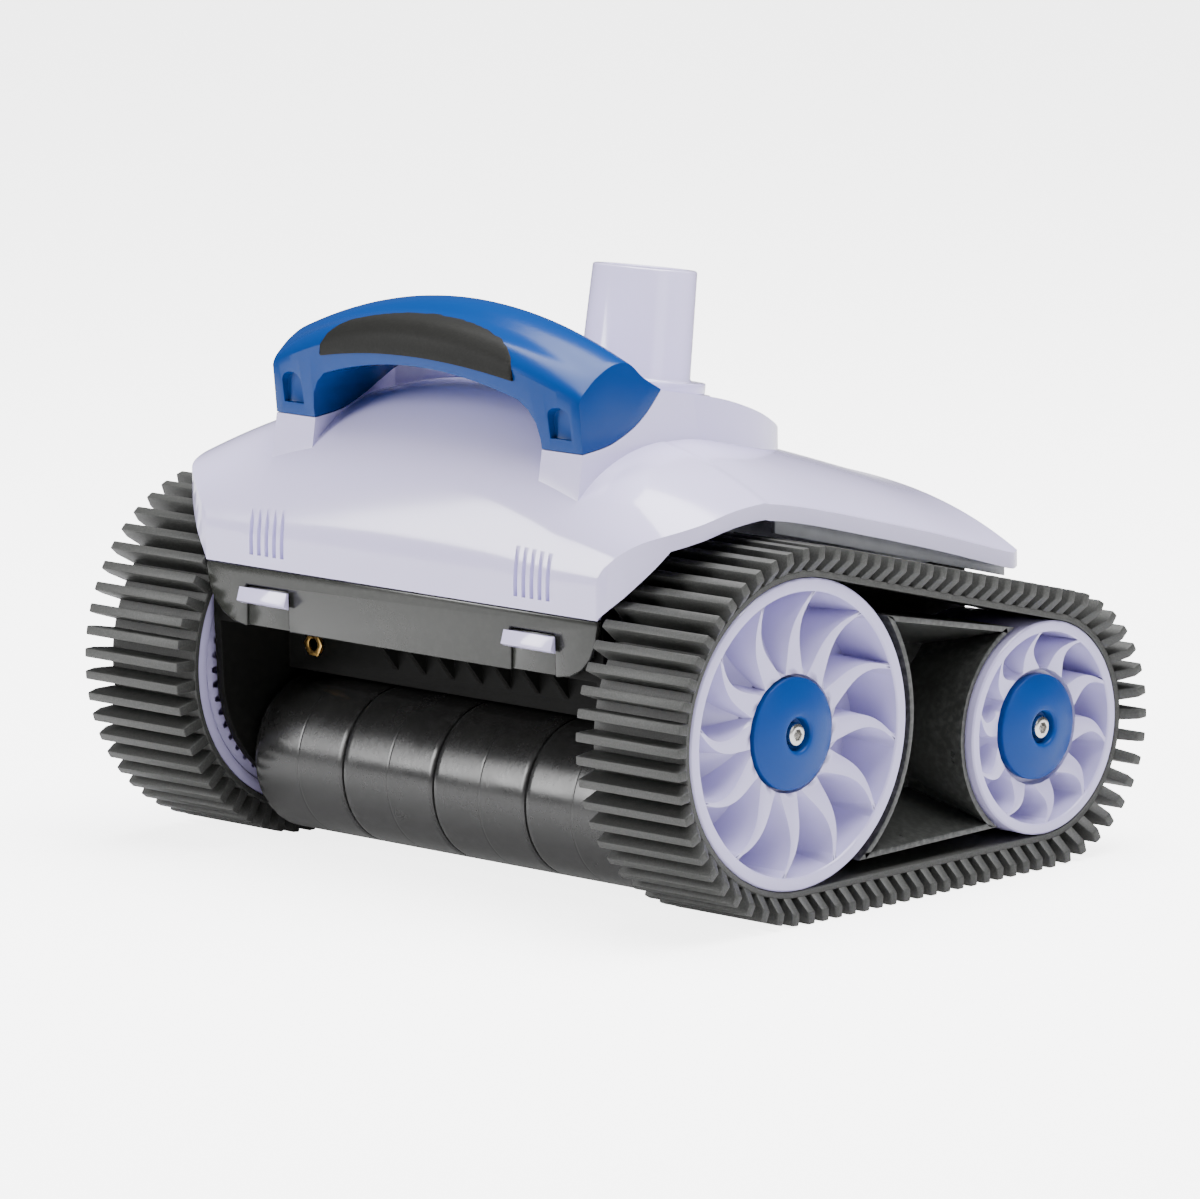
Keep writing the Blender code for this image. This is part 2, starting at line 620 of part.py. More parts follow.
def lower_body():
    front, back = FRONT_Y + PANEL_THICK + FIT, REAR_Y - 0.0006
    guard = circle(FRONT_AXLE, FRONT_WHEEL_R - 0.0063, 9, math.pi * 0.985, math.pi * 1.47)
    rim, tail_rise = SEAM_Z - 0.0030, 0.0160
    outline = ([(front, rim), (front, PANEL_BOTTOM)] + guard
               + [(nose(0.0274), PAN_Z), (tail(-0.0061), PAN_Z), (back, PAN_Z + tail_rise), (back, rim)])
    body = plate("lower_body", [outline], -BODY_HALF, BODY_HALF, BLACK)
    wall, ahead = BODY_WALL, FRONT_Y - 0.0386
    inner_arc = bay_outline(ROLLER_R + ROLLER_CLEAR + wall, PANEL_BOTTOM + 0.0025, BAY_BACK + wall, front + wall,
                            PAN_Z + wall)
    inside = ([(front + wall, rim + 0.01)] + inner_arc
              + [(tail(-0.0071), PAN_Z + wall), (back - wall, PAN_Z + tail_rise + 0.0012), (back - wall, rim + 0.01)])
    cut(body, plate("body_inside", [inside], -BODY_HALF + wall, BODY_HALF - wall))
    bay = bay_outline(ROLLER_R + ROLLER_CLEAR, PANEL_BOTTOM - FIT, BAY_BACK, ahead, -PAN_Z) + [(ahead, -PAN_Z)]
    cut(body, plate("roller_bay", [bay], -BODY_HALF + wall + 0.0005, BODY_HALF - wall - 0.0005))
    for index in range(GUSSET_COUNT):
        x = GUSSET_FIRST + GUSSET_PITCH * index
        gusset = [(BAY_BACK + 0.001, over(-0.0662)), (BAY_BACK + 0.001, PANEL_BOTTOM + 0.001),
                  (BAY_BACK - 0.0150, PANEL_BOTTOM + 0.001)]
        join(body, plate("gusset_%d" % index, [gusset], x - 0.0010, x + 0.0010))
    cut(body, box("suction_inlet", (-INLET_HALF, INLET_FRONT, -0.01), (INLET_HALF, INLET_BACK, 0.0200)))
    for side, label in ((1, "left"), (-1, "right")):
        reach = mirrored(BODY_HALF - 0.0108, BODY_HALF + 0.0092, side)
        for name, centre, radius in (("front_axle_hole_", FRONT_AXLE, AXLE_R + FIT),
                                     ("rear_axle_hole_", REAR_AXLE, AXLE_R + FIT),
                                     ("pinion_hole_", REDUCTION_AXLE, PINION_SHAFT_R + 0.0006)):
            cut(body, plate(name + label, [circle(centre, radius, 16)], *reach))
        cut(body, plate("roller_pin_hole_" + label, [circle((ROLLER_Y, ROLLER_Z), 0.0055 + FIT, 16)], *reach))
        x0, x1 = mirrored(LATCH_INNER - 0.0010, LATCH_OUTER + 0.0010, side)
        cut(body, box("latch_notch_" + label, (x0, front - 0.01, PANEL_BOTTOM - 0.004), (x1, front + wall + 0.0005, rim + 0.01)))
        hole = circle((side * INSERT_X, INSERT_Z), 0.0041 + FIT, 12)
        cut(body, plate("insert_hole_" + label, [hole], -0.01, 0.01, rotation=(math.pi / 2, 0.0, 0.0),
                        centre=(0.0, BAY_BACK, 0.0)))
    return body


def front_panel():
    corner = circle((BODY_HALF - 0.020, PANEL_BOTTOM + 0.020), 0.020, 6, -math.pi / 2, 0.0)
    outline = corner + [(BODY_HALF, SEAM_Z - FIT)]
    outline = outline + [(-x, z) for x, z in reversed(outline)]
    panel = plate("front_panel", [outline], 0.0, PANEL_THICK, BLACK, (math.pi / 2, 0.0, 0.0), (0.0, FRONT_Y + PANEL_THICK, 0.0))
    for side, label in ((1, "left"), (-1, "right")):
        x0, x1 = mirrored(LATCH_INNER, LATCH_OUTER, side)
        cut(panel, box("latch_window_" + label, (x0, FRONT_Y - 0.01, PANEL_BOTTOM - 0.01), (x1, FRONT_Y + 0.01, LATCH_TOP)))


def cover_latch(label, side):
    """Latch leg in the panel's window with the white finger tab across its front."""
    play, overhang = 0.0005, 0.0014
    top = LATCH_TOP - 0.0006
    x0, x1 = mirrored(LATCH_INNER + play, LATCH_OUTER - play, side)
    latch = box("cover_latch_" + label, (x0, FRONT_Y + 0.0008, PANEL_BOTTOM + play), (x1, FRONT_Y + 0.0026, top), WHITE)
    back = FRONT_Y - LATCH_TRAVEL
    wedge = [(back, top - 0.0062), (back, top - 0.0002), (back - 0.0010, top), (back - 0.0026, top - 0.0049)]
    low, high = mirrored(LATCH_INNER - overhang, LATCH_OUTER + overhang, side)
    join(latch, plate("tab_" + label, [wedge], low, high))
    join(latch, box("tab_root_" + label, (x0, back - 0.0006, top - 0.0059), (x1, FRONT_Y + 0.0012, top - 0.0004)))


def side_frame(label, side):
    """Open box that fills the space between the two wheels."""
    front_r, rear_r, wall = FRONT_WHEEL_R + 0.0047, REAR_WHEEL_R + 0.0016, 0.0022
    front_arc = circle(FRONT_AXLE, front_r, 9, math.radians(-57.0), math.radians(42.0))
    rear_arc = circle(REAR_AXLE, rear_r, 8, math.radians(109.0), math.radians(235.0))
    outline = front_arc + rear_arc
    inner_front = circle(FRONT_AXLE, front_r + wall, 9, math.radians(-52.5), math.radians(38.5))
    inner_rear = circle(REAR_AXLE, rear_r + wall, 8, math.radians(112.5), math.radians(230.0))
    low, high = mirrored(BODY_HALF + FIT, WHEEL_FACE - 0.0025, side)
    frame = plate("side_frame_" + label, [outline], low, high, BLACK)
    low, high = mirrored(TRACK_INNER + 0.0088, WHEEL_FACE + 0.0115, side)
    cut(frame, plate("frame_recess_" + label, [inner_front + inner_rear], low, high))


def side_wall(label, side):
    """Light grey inner wall that closes the gap between the track and the mudguard."""
    top = [(y, rim_height(y) - 0.004) for y in (REAR_Y - 0.005, tail(-0.0351), nose(0.0588), nose(0.0219), nose(0.0011))]
    outline = [(nose(-0.0026), SEAM_Z - 0.0025), (REAR_Y - 0.005, SEAM_Z - 0.0025)] + top
    low, high = mirrored(BODY_HALF - 0.0036, BODY_HALF - 0.0008, side)
    plate("side_wall_" + label, [outline], low, high, GREY)


# ---------------------------------------------------------------- handle
def handle_front(x):
    return nose(-0.0456) + 0.0065 * (x / POST_OUTER) ** 2


def handle_section(x):
    """Side view of the handle's upper side at x: (y, z) points from the front crease over the top."""
    arch = 1 - (x / POST_OUTER) ** 2
    front = handle_front(x)
    rise = 0.0166 * arch
    crease_z = over(0.0503) + 0.0172 * arch
    return [(front, crease_z - 0.002), (front + 0.0055, crease_z + 0.0045),
            (nose(-0.0306), over(0.0568) + rise), (nose(-0.0176), over(0.0614) + rise),
            (nose(-0.0066), over(0.0550) + rise), (nose(0.0029), over(0.0494) + rise * 0.9)]


def handle_frame():
    stations = [POST_OUTER * (-1 + 2 * i / 12) for i in range(13)]
    bm = bmesh.new()
    rings = []
    for x in stations:
        ring = handle_section(x) + [(y, z + FIT) for y, z in reversed(HANDLE_SEAM)]
        rings.append([bm.verts.new((x, y, z)) for y, z in ring])
    for a, b in zip(rings, rings[1:]):
        for i in range(len(a)):
            j = (i + 1) % len(a)
            bm.faces.new((a[i], a[j], b[j], b[i]))
    bm.faces.new(rings[0])
    bm.faces.new(rings[-1])
    bmesh.ops.recalc_face_normals(bm, faces=bm.faces)
    handle = from_bmesh(bm, "handle_frame", BLUE)
    half = POST_INNER - 0.0084
    arch = [(half * i / 3, over(0.0553) - 0.0075 * (i / 3) ** 2) for i in range(-3, 4)]
    corner = [(POST_INNER - 0.0020, over(0.0413)), (POST_INNER, over(0.0348)), (POST_INNER, over(0.0138))]
    opening = [(-x, z) for x, z in reversed(corner)] + arch + corner
    cut(handle, plate("hand_gap", [opening], -nose(0.0874), -nose(-0.0726), rotation=(math.pi / 2, 0.0, 0.0)))
    cut(handle, grip_block("grip_seat", FIT))
    for side, label in ((1, "left"), (-1, "right")):
        x0, x1 = mirrored(POST_INNER + 0.0038, POST_OUTER - 0.0044, side)
        cut(handle, box("leg_pocket_" + label, (x0, nose(-0.0626), over(0.0340)), (x1, nose(-0.0306), over(0.0468))))
    return handle


def grip_block(name, extra, mat=None):
    """Lens shape let into the front edge of the handle's bar."""
    count = 8
    bm = bmesh.new()
    rings = []
    for i in range(count + 1):
        share = 2 * i / count - 1
        x = share * (POST_INNER - 0.0094 + extra)
        top = handle_section(x)
        front, crease = top[0], top[1]
        width = 0.0135 * (1 - share ** 2) + 0.0004 + extra
        low_z = over(0.0600) - 0.0046 * share ** 2 - extra
        depth = 0.0035 + extra
        back_y = crease[0] + width
        back_z = crease[1] + (top[2][1] - crease[1]) * min(1.0, width / (top[2][0] - crease[0]))
        front_y = front[0] + (0.0 if mat else -0.01)
        ring = [(front_y, low_z), (front_y, front[1] if mat else front[1] + 0.012), (crease[0], crease[1] if mat else crease[1] + 0.012),
                (back_y, back_z if mat else back_z + 0.012), (back_y, back_z - depth), (front[0] + depth + 0.001, low_z)]
        rings.append([bm.verts.new((x, y, z)) for y, z in ring])
    for a, b in zip(rings, rings[1:]):
        for i in range(len(a)):
            j = (i + 1) % len(a)
            bm.faces.new((a[i], a[j], b[j], b[i]))
    bm.faces.new(rings[0])
    bm.faces.new(rings[-1])
    bmesh.ops.recalc_face_normals(bm, faces=bm.faces)
    return from_bmesh(bm, name, mat)


# ---------------------------------------------------------------- hose connector
def hose_connector():
    profile = [(SPIGOT_R, SPIGOT_RISE), (SPIGOT_BASE_R, 0.0), (FLANGE_R, 0.0), (FLANGE_R, -FLANGE_THICK),
               (NECK_R, -FLANGE_THICK), (NECK_R, -0.0206), (NECK_R - 0.0012, -0.0206), (NECK_R - 0.0012, -0.0250),
               (NECK_R, -0.0250), (NECK_R, -NECK_DROP), (SPIGOT_BORE, -NECK_DROP), (SPIGOT_BORE, SPIGOT_RISE)]
    swivel_turned("hose_connector", profile, WHITE, 26)
    ring = [(FLANGE_R, -0.0209), (FLANGE_R, -0.0247), (NECK_R - 0.0012 + FIT, -0.0247), (NECK_R - 0.0012 + FIT, -0.0209)]
    swivel_turned("swivel_retainer", ring, ACETAL, 20)


# ---------------------------------------------------------------- turbine and gears
def turbine_housing():
    y, z = TURBINE_AXLE
    drum = plate("turbine_housing", [circle((y, z), HOUSING_R, 32)], -HOUSING_HALF, HOUSING_HALF, GREY)
    throat = plate("throat", [circle((0.0, THROAT_Y), THROAT_R, 24)], z, THROAT_TOP, rotation=(0.0, 0.0, 0.0))
    join(drum, throat)
    chute_half, front, back = INLET_HALF - 0.0008, INLET_FRONT + 0.0008, INLET_BACK - 0.0008
    join(drum, box("chute", (-chute_half, front, PAN_Z + 0.0020), (chute_half, back, z)))
    wall = HOUSING_WALL
    cut(drum, plate("drum_inside", [circle((y, z), HOUSING_R - wall, 32)], -HOUSING_HALF + wall, HOUSING_HALF - wall))
    cut(drum, plate("throat_inside", [circle((0.0, THROAT_Y), THROAT_R - wall, 24)], z, THROAT_TOP + 0.01, rotation=(0.0, 0.0, 0.0)))
    cut(drum, box("chute_inside", (-chute_half + wall, front + wall, 0.0), (chute_half - wall, back - wall, z)))
    cut(drum, plate("bearing_seats", [circle((y, z), 0.0065 + FIT, 16)], -0.1, 0.1))
    for side, label in ((1, "left"), (-1, "right")):
        seat = [(0.0065, HOUSING_HALF), (0.0065, HOUSING_HALF - wall), (SHAFT_R + FIT, HOUSING_HALF - wall), (SHAFT_R + FIT, HOUSING_HALF)]
        turned("turbine_bearing_" + label, seat, sideways(TURBINE_AXLE), ACETAL, side, 16)


def turbine_rotor():
    blades, hub_r, half = 8, 0.0090, HOUSING_HALF - HOUSING_WALL - 0.0020
    outline = []
    for index in range(blades):
        start = 2 * math.pi * index / blades
        for radius, angle in ((hub_r, -0.10), (ROTOR_R * 0.6, 0.22), (ROTOR_R, 0.48), (ROTOR_R, 0.54),
                              (ROTOR_R * 0.6, 0.33), (hub_r, 0.16)):
            outline.append((radius * math.cos(start + angle), radius * math.sin(start + angle)))
    bore = circle((0.0, 0.0), SHAFT_R + 0.0002, 12)
    plate("turbine_rotor", [outline, bore], -half, half, ACETAL, centre=sideways(TURBINE_AXLE))
    end = GEAR_X[1] + 0.0010
    turned("turbine_shaft", [(0.0, end), (SHAFT_R, end), (SHAFT_R, -end), (0.0, -end)], sideways(TURBINE_AXLE), STEEL, 1, 12)


def drive_pinion(label, side):
    phase = TRAIN_DIRECTION + math.pi + math.pi / DRIVE_PINION_TEETH
    teeth = gear_outline(DRIVE_PINION_TEETH, GEAR_MODULE, 0.0018, 0.0022, math.pi * GEAR_MODULE / 2 - BACKLASH, phase)
    low, high = mirrored(*GEAR_X, side)
    plate("drive_pinion_" + label, [teeth, circle((0.0, 0.0), SHAFT_R + 0.0002, 12)], low, high, ACETAL,
          centre=sideways(TURBINE_AXLE))


def reduction_gear(label, side):
    """Large gear inside the casing, shaft through its wall, small pinion in the wheel."""
    teeth = gear_outline(GEAR_TEETH, GEAR_MODULE, 0.0018, 0.0022, math.pi * GEAR_MODULE / 2 - BACKLASH, TRAIN_DIRECTION)
    small = gear_outline(SMALL_PINION_TEETH, RING_MODULE, 0.0014, 0.0021,
                         math.pi * RING_MODULE / 2 - BACKLASH, RING_DIRECTION)
    centre = sideways(REDUCTION_AXLE)
    gear = plate("reduction_gear_" + label, [teeth], *mirrored(*GEAR_X, side), ACETAL, centre=centre)
    join(gear, plate("pinion_shaft_" + label, [circle((0.0, 0.0), PINION_SHAFT_R, 16)],
                     *mirrored(GEAR_X[0] + 0.001, RING_X[1] - 0.0005, side), centre=centre))
    join(gear, plate("small_pinion_" + label, [small], *mirrored(RING_X[0] + 0.0002, RING_X[1] - 0.0002, side), centre=centre))
    cut(gear, plate("gear_bore_" + label, [circle((0.0, 0.0), SHAFT_R + 0.0002, 12)], -0.2, 0.2, centre=centre))
    end, root = RING_X[1] + 0.0005, GEAR_X[0] - 0.0060
    pin = [(0.0, end), (SHAFT_R, end), (SHAFT_R, root), (0.0, root)]
    turned("reduction_axle_" + label, pin, centre, STEEL, side, 12)


# ---------------------------------------------------------------- roller
def roller():
    centre = (0.0, ROLLER_Y, ROLLER_Z)
    core, pin = ROLLER_R - 0.0094, 0.0045
    end, barrel = BODY_HALF - 0.0004, BODY_HALF - 0.0053
    shaft = [(0.0, end), (pin, end), (pin, barrel), (core, barrel), (core, -barrel), (pin, -barrel),
             (pin, -end), (0.0, -end)]
    turned("roller_core", shaft, centre, BLACK, 1, 24)
    for index in range(SLEEVE_COUNT):
        middle = (index - (SLEEVE_COUNT - 1) / 2) * (SLEEVE_LENGTH + SLEEVE_GAP)
        low, high = middle - SLEEVE_LENGTH / 2, middle + SLEEVE_LENGTH / 2
        profile = [(ROLLER_R, high), (ROLLER_R, low), (core + FIT, low), (core + FIT, high)]
        turned("roller_sleeve_%d" % (index + 1), profile, centre, ROLLER, 1, 24)
    for side, label in ((1, "left"), (-1, "right")):
        bearing = [(0.0055, BODY_HALF), (0.0055, BODY_HALF - BODY_WALL), (0.0047, BODY_HALF - BODY_WALL), (0.0047, BODY_HALF)]
        turned("roller_bush_" + label, bearing, centre, ACETAL, side, 16)


def brass_insert(label, side):
    profile = [(0.0050, 0.0012), (0.0050, 0.0), (0.0041, 0.0), (0.0041, -0.0026), (0.0021, -0.0026), (0.0021, 0.0012)]
    turned("brass_insert_" + label, profile, (side * INSERT_X, BAY_BACK - FIT, INSERT_Z), BRASS, 1, 12,
           (math.pi / 2, 0.0, 0.0))


# ---------------------------------------------------------------- build
lower_body()
front_panel()
top_cover()
handle_frame()
grip_block("handle_grip", 0.0, GRIP)
hose_connector()
turbine_housing()
turbine_rotor()
roller()
for SIDE, LABEL in ((1, "left"), (-1, "right")):
    track_belt(LABEL, SIDE)
    wheel("front_wheel_" + LABEL, SIDE, FRONT_AXLE, FRONT_WHEEL_R, 12, 30)
    wheel("rear_wheel_" + LABEL, SIDE, REAR_AXLE, REAR_WHEEL_R, 10, 24)
    ring_gear(LABEL, SIDE)
    hub_cap("front_hub_cap_" + LABEL, SIDE, FRONT_AXLE, FRONT_CAP_R)
    hub_cap("rear_hub_cap_" + LABEL, SIDE, REAR_AXLE, REAR_CAP_R)
    for PLACE, CENTRE in (("front", FRONT_AXLE), ("rear", REAR_AXLE)):
        wheel_screw("wheel_screw_%s_%s" % (PLACE, LABEL), SIDE, CENTRE)
        axle("%s_axle_%s" % (PLACE, LABEL), SIDE, CENTRE)
        bush("%s_bush_%s" % (PLACE, LABEL), SIDE, CENTRE)
    side_frame(LABEL, SIDE)
    side_wall(LABEL, SIDE)
    cover_latch(LABEL, SIDE)
    reduction_gear(LABEL, SIDE)
    drive_pinion(LABEL, SIDE)
    brass_insert(LABEL, SIDE)
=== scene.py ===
# %% [markdown]
# # A tracked pool cleaner, piece by piece
# The machine is already built as plain solids, one for each real part, and those solids
# say where everything sits and how it turns. This lesson makes the pieces that are seen
# with finer shapes, gives every part a finish, and hangs each piece on the body it moves with.

import math

import bpy
from mathutils import Matrix, Vector


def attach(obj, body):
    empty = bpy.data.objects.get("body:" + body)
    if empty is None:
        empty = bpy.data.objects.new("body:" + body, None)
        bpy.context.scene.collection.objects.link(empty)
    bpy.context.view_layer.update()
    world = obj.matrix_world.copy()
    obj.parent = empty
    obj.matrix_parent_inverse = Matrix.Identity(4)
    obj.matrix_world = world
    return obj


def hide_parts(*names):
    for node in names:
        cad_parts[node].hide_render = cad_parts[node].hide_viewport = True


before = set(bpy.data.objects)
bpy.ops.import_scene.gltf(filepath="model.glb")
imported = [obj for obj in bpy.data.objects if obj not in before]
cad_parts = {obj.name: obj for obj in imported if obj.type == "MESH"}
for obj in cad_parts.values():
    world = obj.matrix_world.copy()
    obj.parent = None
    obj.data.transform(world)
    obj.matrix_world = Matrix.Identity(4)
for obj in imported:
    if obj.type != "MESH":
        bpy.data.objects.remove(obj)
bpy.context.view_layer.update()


# %% [markdown]
# ## Camera
# A long lens from the front left corner, a little above the machine, keeps its edges nearly
# parallel. The camera is placed by a point and three axes, so its small roll is exact.

# %% Camera
YAW, PITCH, ROLL = math.radians(44.381), math.radians(10.057), math.radians(-0.763)
back = Vector((math.sin(YAW) * math.cos(PITCH), -math.cos(YAW) * math.cos(PITCH), math.sin(PITCH)))
level_right = (-back).cross(Vector((0, 0, 1))).normalized()
level_up = level_right.cross(-back).normalized()
right = math.cos(ROLL) * level_right + math.sin(ROLL) * level_up
up = -math.sin(ROLL) * level_right + math.cos(ROLL) * level_up
lens = bpy.data.cameras.new("camera")
lens.lens, lens.sensor_width = 263.24, 36.0
camera = bpy.data.objects.new("camera", lens)
bpy.context.scene.collection.objects.link(camera)
camera.matrix_world = Matrix(((right.x, up.x, back.x, 2.2421), (right.y, up.y, back.y, -2.2975),
                              (right.z, up.z, back.z, 0.6617), (0, 0, 0, 1)))
bpy.context.scene.camera = camera
print("camera", [round(v, 3) for v in camera.matrix_world.translation])


# %% [markdown]
# ## Studio
# A product shot of glossy plastic is mostly a picture of its lamps. Big soft panels give
# long, calm highlights, and a pale floor fills the shadows from below.

# %% Floor and lamps
def clear_selection():
    """Leave edit mode and let go of everything, so the next tool touches one piece only."""
    if bpy.context.object and bpy.context.object.mode != "OBJECT":
        bpy.ops.object.mode_set(mode="OBJECT")
    bpy.ops.object.select_all(action="DESELECT")


clear_selection()
bpy.ops.mesh.primitive_plane_add(size=60.0)
floor = bpy.context.object
floor.name = "floor"
paper = bpy.data.materials.new("floor_paper")
paper.use_nodes = True
paper_shader = paper.node_tree.nodes["Principled BSDF"]
paper_shader.inputs["Base Color"].default_value = (0.93, 0.93, 0.93, 1)
paper_shader.inputs["Roughness"].default_value = 0.8
paper_shader.inputs["Emission Color"].default_value = (1, 1, 1, 1)
# the glow is strong only where the camera looks straight at the floor, so it lights the machine little
SEEN_GLOW, UNSEEN_GLOW = 4.0, 0.12
seen = paper.node_tree.nodes.new("ShaderNodeLightPath").outputs["Is Camera Ray"]
glow = paper.node_tree.nodes.new("ShaderNodeMath")
glow.operation = "MULTIPLY_ADD"
paper.node_tree.links.new(seen, glow.inputs[0])
glow.inputs[1].default_value, glow.inputs[2].default_value = SEEN_GLOW, UNSEEN_GLOW
paper.node_tree.links.new(glow.outputs[0], paper_shader.inputs["Emission Strength"])
floor.data.materials.append(paper)

world = bpy.data.worlds.new("studio")
bpy.context.scene.world = world
world.use_nodes = True
world.node_tree.nodes["Background"].inputs["Color"].default_value = (0.93, 0.94, 1.0, 1)
world.node_tree.nodes["Background"].inputs["Strength"].default_value = 0.12


def lamp(name, spot, aim, size, power):
    """A soft rectangular lamp at spot that shines towards aim."""
    light = bpy.data.lights.new(name, "AREA")
    light.shape, light.size, light.size_y, light.energy = "RECTANGLE", size[0], size[1], power
    holder = bpy.data.objects.new(name, light)
    bpy.context.scene.collection.objects.link(holder)
    holder.location = spot
    holder.rotation_euler = (Vector(aim) - Vector(spot)).to_track_quat("-Z", "Y").to_euler()
    print("lamp", name, power, "W")


lamp("top_panel", (0.2, 0.2, 1.6), (0.0, 0.0, 0.1), (1.5, 1.5), 92)
lamp("left_panel", (-1.1, -1.5, 0.75), (0.0, 0.0, 0.1), (0.6, 0.9), 30)
lamp("right_panel", (1.9, 0.2, 0.9), (0.1, 0.0, 0.1), (0.8, 1.2), 7)


# %% [markdown]
# ## Tools for the shapes
# Nearly every part starts in one of two ways. A turned part is a line traced point by point
# and spun round its axle. A cut part is an outline that is filled and drawn out to a depth.
# Both start from a tiny plane merged to one point, which is then extruded from place to place.

# %% Tracing, spinning and drawing out
def trace(name, points, closed=False):
    """A line through points, left in edit mode with all of it selected."""
    clear_selection()
    points = [Vector(p) for p in points]
    bpy.ops.mesh.primitive_plane_add(size=0.0001, location=points[0])
    obj = bpy.context.object
    obj.name = obj.data.name = name
    bpy.ops.object.transform_apply(location=True, rotation=True, scale=True)
    bpy.ops.object.mode_set(mode="EDIT")
    bpy.ops.mesh.merge(type="CENTER")
    for a, b in zip(points, points[1:]):
        bpy.ops.mesh.extrude_region_move(TRANSFORM_OT_translate={"value": b - a})
    bpy.ops.mesh.select_all(action="SELECT")
    if closed:
        bpy.ops.mesh.edge_face_add()
    return obj


def close_up():
    """Merge what meets and turn the faces outwards, then leave edit mode."""
    bpy.ops.mesh.select_all(action="SELECT")
    bpy.ops.mesh.remove_doubles(threshold=0.00001)
    bpy.ops.mesh.normals_make_consistent(inside=False)
    bpy.ops.object.mode_set(mode="OBJECT")


def turned(name, profile, centre, steps=96, axis=(1, 0, 0), ring=True):
    """Spin a profile of (radius, height) points about an axis through centre."""
    axis = Vector(axis).normalized()
    out = axis.orthogonal().normalized()
    rows = [Vector(centre) + out * r + axis * h for r, h in profile]
    obj = trace(name, rows + ([rows[0]] if ring else []))
    bpy.ops.mesh.spin(steps=steps, angle=2 * math.pi, center=centre, axis=axis)
    close_up()
    return obj


def drawn_out(name, outline, start, depth, direction=(1, 0, 0)):
    """Fill an outline and draw it out. direction is X, Y or Z, and the outline is in the plane across it."""
    where = {0: lambda u, v: (start, u, v), 1: lambda u, v: (u, start, v), 2: lambda u, v: (u, v, start)}
    spot = where[max(range(3), key=lambda i: abs(direction[i]))]
    obj = trace(name, [spot(u, v) for u, v in outline], closed=True)
    bpy.ops.mesh.extrude_region_move(TRANSFORM_OT_translate={"value": Vector(direction) * depth})
    close_up()
    return obj


def apply_all(obj):
    """Work every modifier into the mesh."""
    clear_selection()
    obj.select_set(True)
    bpy.context.view_layer.objects.active = obj
    for step in list(obj.modifiers):
        bpy.ops.object.modifier_apply(modifier=step.name)


def soften(obj, width, segments=2, angle=30.0):
    """Round the sharp edges a little and shade the rest smooth, as moulded plastic is."""
    bevel = obj.modifiers.new("bevel", "BEVEL")
    bevel.width, bevel.segments, bevel.limit_method = width, segments, "ANGLE"
    bevel.angle_limit, bevel.harden_normals = math.radians(angle), False
    bevel.use_clamp_overlap = True
    apply_all(obj)
    bpy.ops.object.shade_smooth_by_angle(angle=math.radians(38))
    return obj


def boolean(obj, tool, operation):
    """Cut a piece with a tool, or join the tool on, and throw the tool away."""
    step = obj.modifiers.new("boolean", "BOOLEAN")
    step.operation, step.solver, step.object = operation, "EXACT", tool
    apply_all(obj)
    bpy.data.objects.remove(tool, do_unlink=True)


def joined(name, objects):
    """Several loose meshes made into one piece."""
    clear_selection()
    for o in objects:
        o.select_set(True)
    bpy.context.view_layer.objects.active = objects[0]
    bpy.ops.object.join()
    objects[0].name = objects[0].data.name = name
    return objects[0]


def copied(obj, name, matrix):
    """A copy with its own mesh, its place worked into the mesh."""
    twin = obj.copy()
    twin.data = obj.data.copy()
    twin.name = twin.data.name = name
    twin.data.transform(matrix)
    if matrix.determinant() < 0:
        twin.data.flip_normals()
    bpy.context.scene.collection.objects.link(twin)
    return twin


MIRROR = Matrix.Scale(-1, 4, (1, 0, 0))
done = []


def finish_piece(obj, material, body, slot, *nodes):
    """Give a piece its finish, hang it on its body and let it stand for its plain solids."""
    obj.data.materials.clear()
    obj.data.materials.append(material)
    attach(obj, body)
    if nodes:
        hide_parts(*nodes)
    obj.data.calc_loop_triangles()
    done.append((obj.name, len(obj.data.loop_triangles)))
    return obj


def both_sides(obj, name, material, body, slot, node):
    """The left piece and its mirror on the right. A * in the names stands for the side."""
    twin = copied(obj, name.replace("*", "right"), MIRROR)
    obj.name = obj.data.name = name.replace("*", "left")
    for piece, side in ((obj, "left"), (twin, "right")):
        finish_piece(piece, material, body.replace("*", side), slot, node.replace("*", side))
    print(name, done[-1][1], "triangles a side")


def refined(node, name, bevel):
    """A plain solid's own mesh, merged and given small round edges."""
    obj = bpy.data.objects.new(name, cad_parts[node].data.copy())
    bpy.context.scene.collection.objects.link(obj)
    clear_selection()
    obj.select_set(True)
    bpy.context.view_layer.objects.active = obj
    bpy.ops.object.mode_set(mode="EDIT")
    bpy.ops.mesh.select_all(action="SELECT")
    bpy.ops.mesh.remove_doubles(threshold=0.00001)
    bpy.ops.mesh.dissolve_limited(angle_limit=math.radians(0.5))
    bpy.ops.object.mode_set(mode="OBJECT")
    return soften(obj, bevel)


# %% [markdown]
# ## Finishes
# Moulded plastic is never one flat colour: the surface swells a little, catches fine scratches,
# and rubber goes pale and dusted along its edges. One group holds the surface marks and one
# holds the pale edges, which are dusting on most parts and a painted highlight on the track boxes' rims,
# so each material only sets its own amounts.

# %% Group: moulded surface
def new_group(name, inputs, outputs):
    """An empty node group with its sockets, and its two end nodes."""
    group = bpy.data.node_groups.new(name, "ShaderNodeTree")
    for socket, kind, value in inputs:
        made = group.interface.new_socket(name=socket, in_out="INPUT", socket_type=kind)
        if value is not None:
            made.default_value = value
    for socket, kind in outputs:
        group.interface.new_socket(name=socket, in_out="OUTPUT", socket_type=kind)
    return group, group.nodes.new("NodeGroupInput"), group.nodes.new("NodeGroupOutput")


def math_node(tree, operation, a, b, clamp=False):
    """One sum, whose two terms are numbers or sockets."""
    node = tree.nodes.new("ShaderNodeMath")
    node.operation, node.use_clamp = operation, clamp
    for socket, value in zip(node.inputs, (a, b)):
        if isinstance(value, (int, float)):
            socket.default_value = value
        else:
            tree.links.new(value, socket)
    return node.outputs[0]


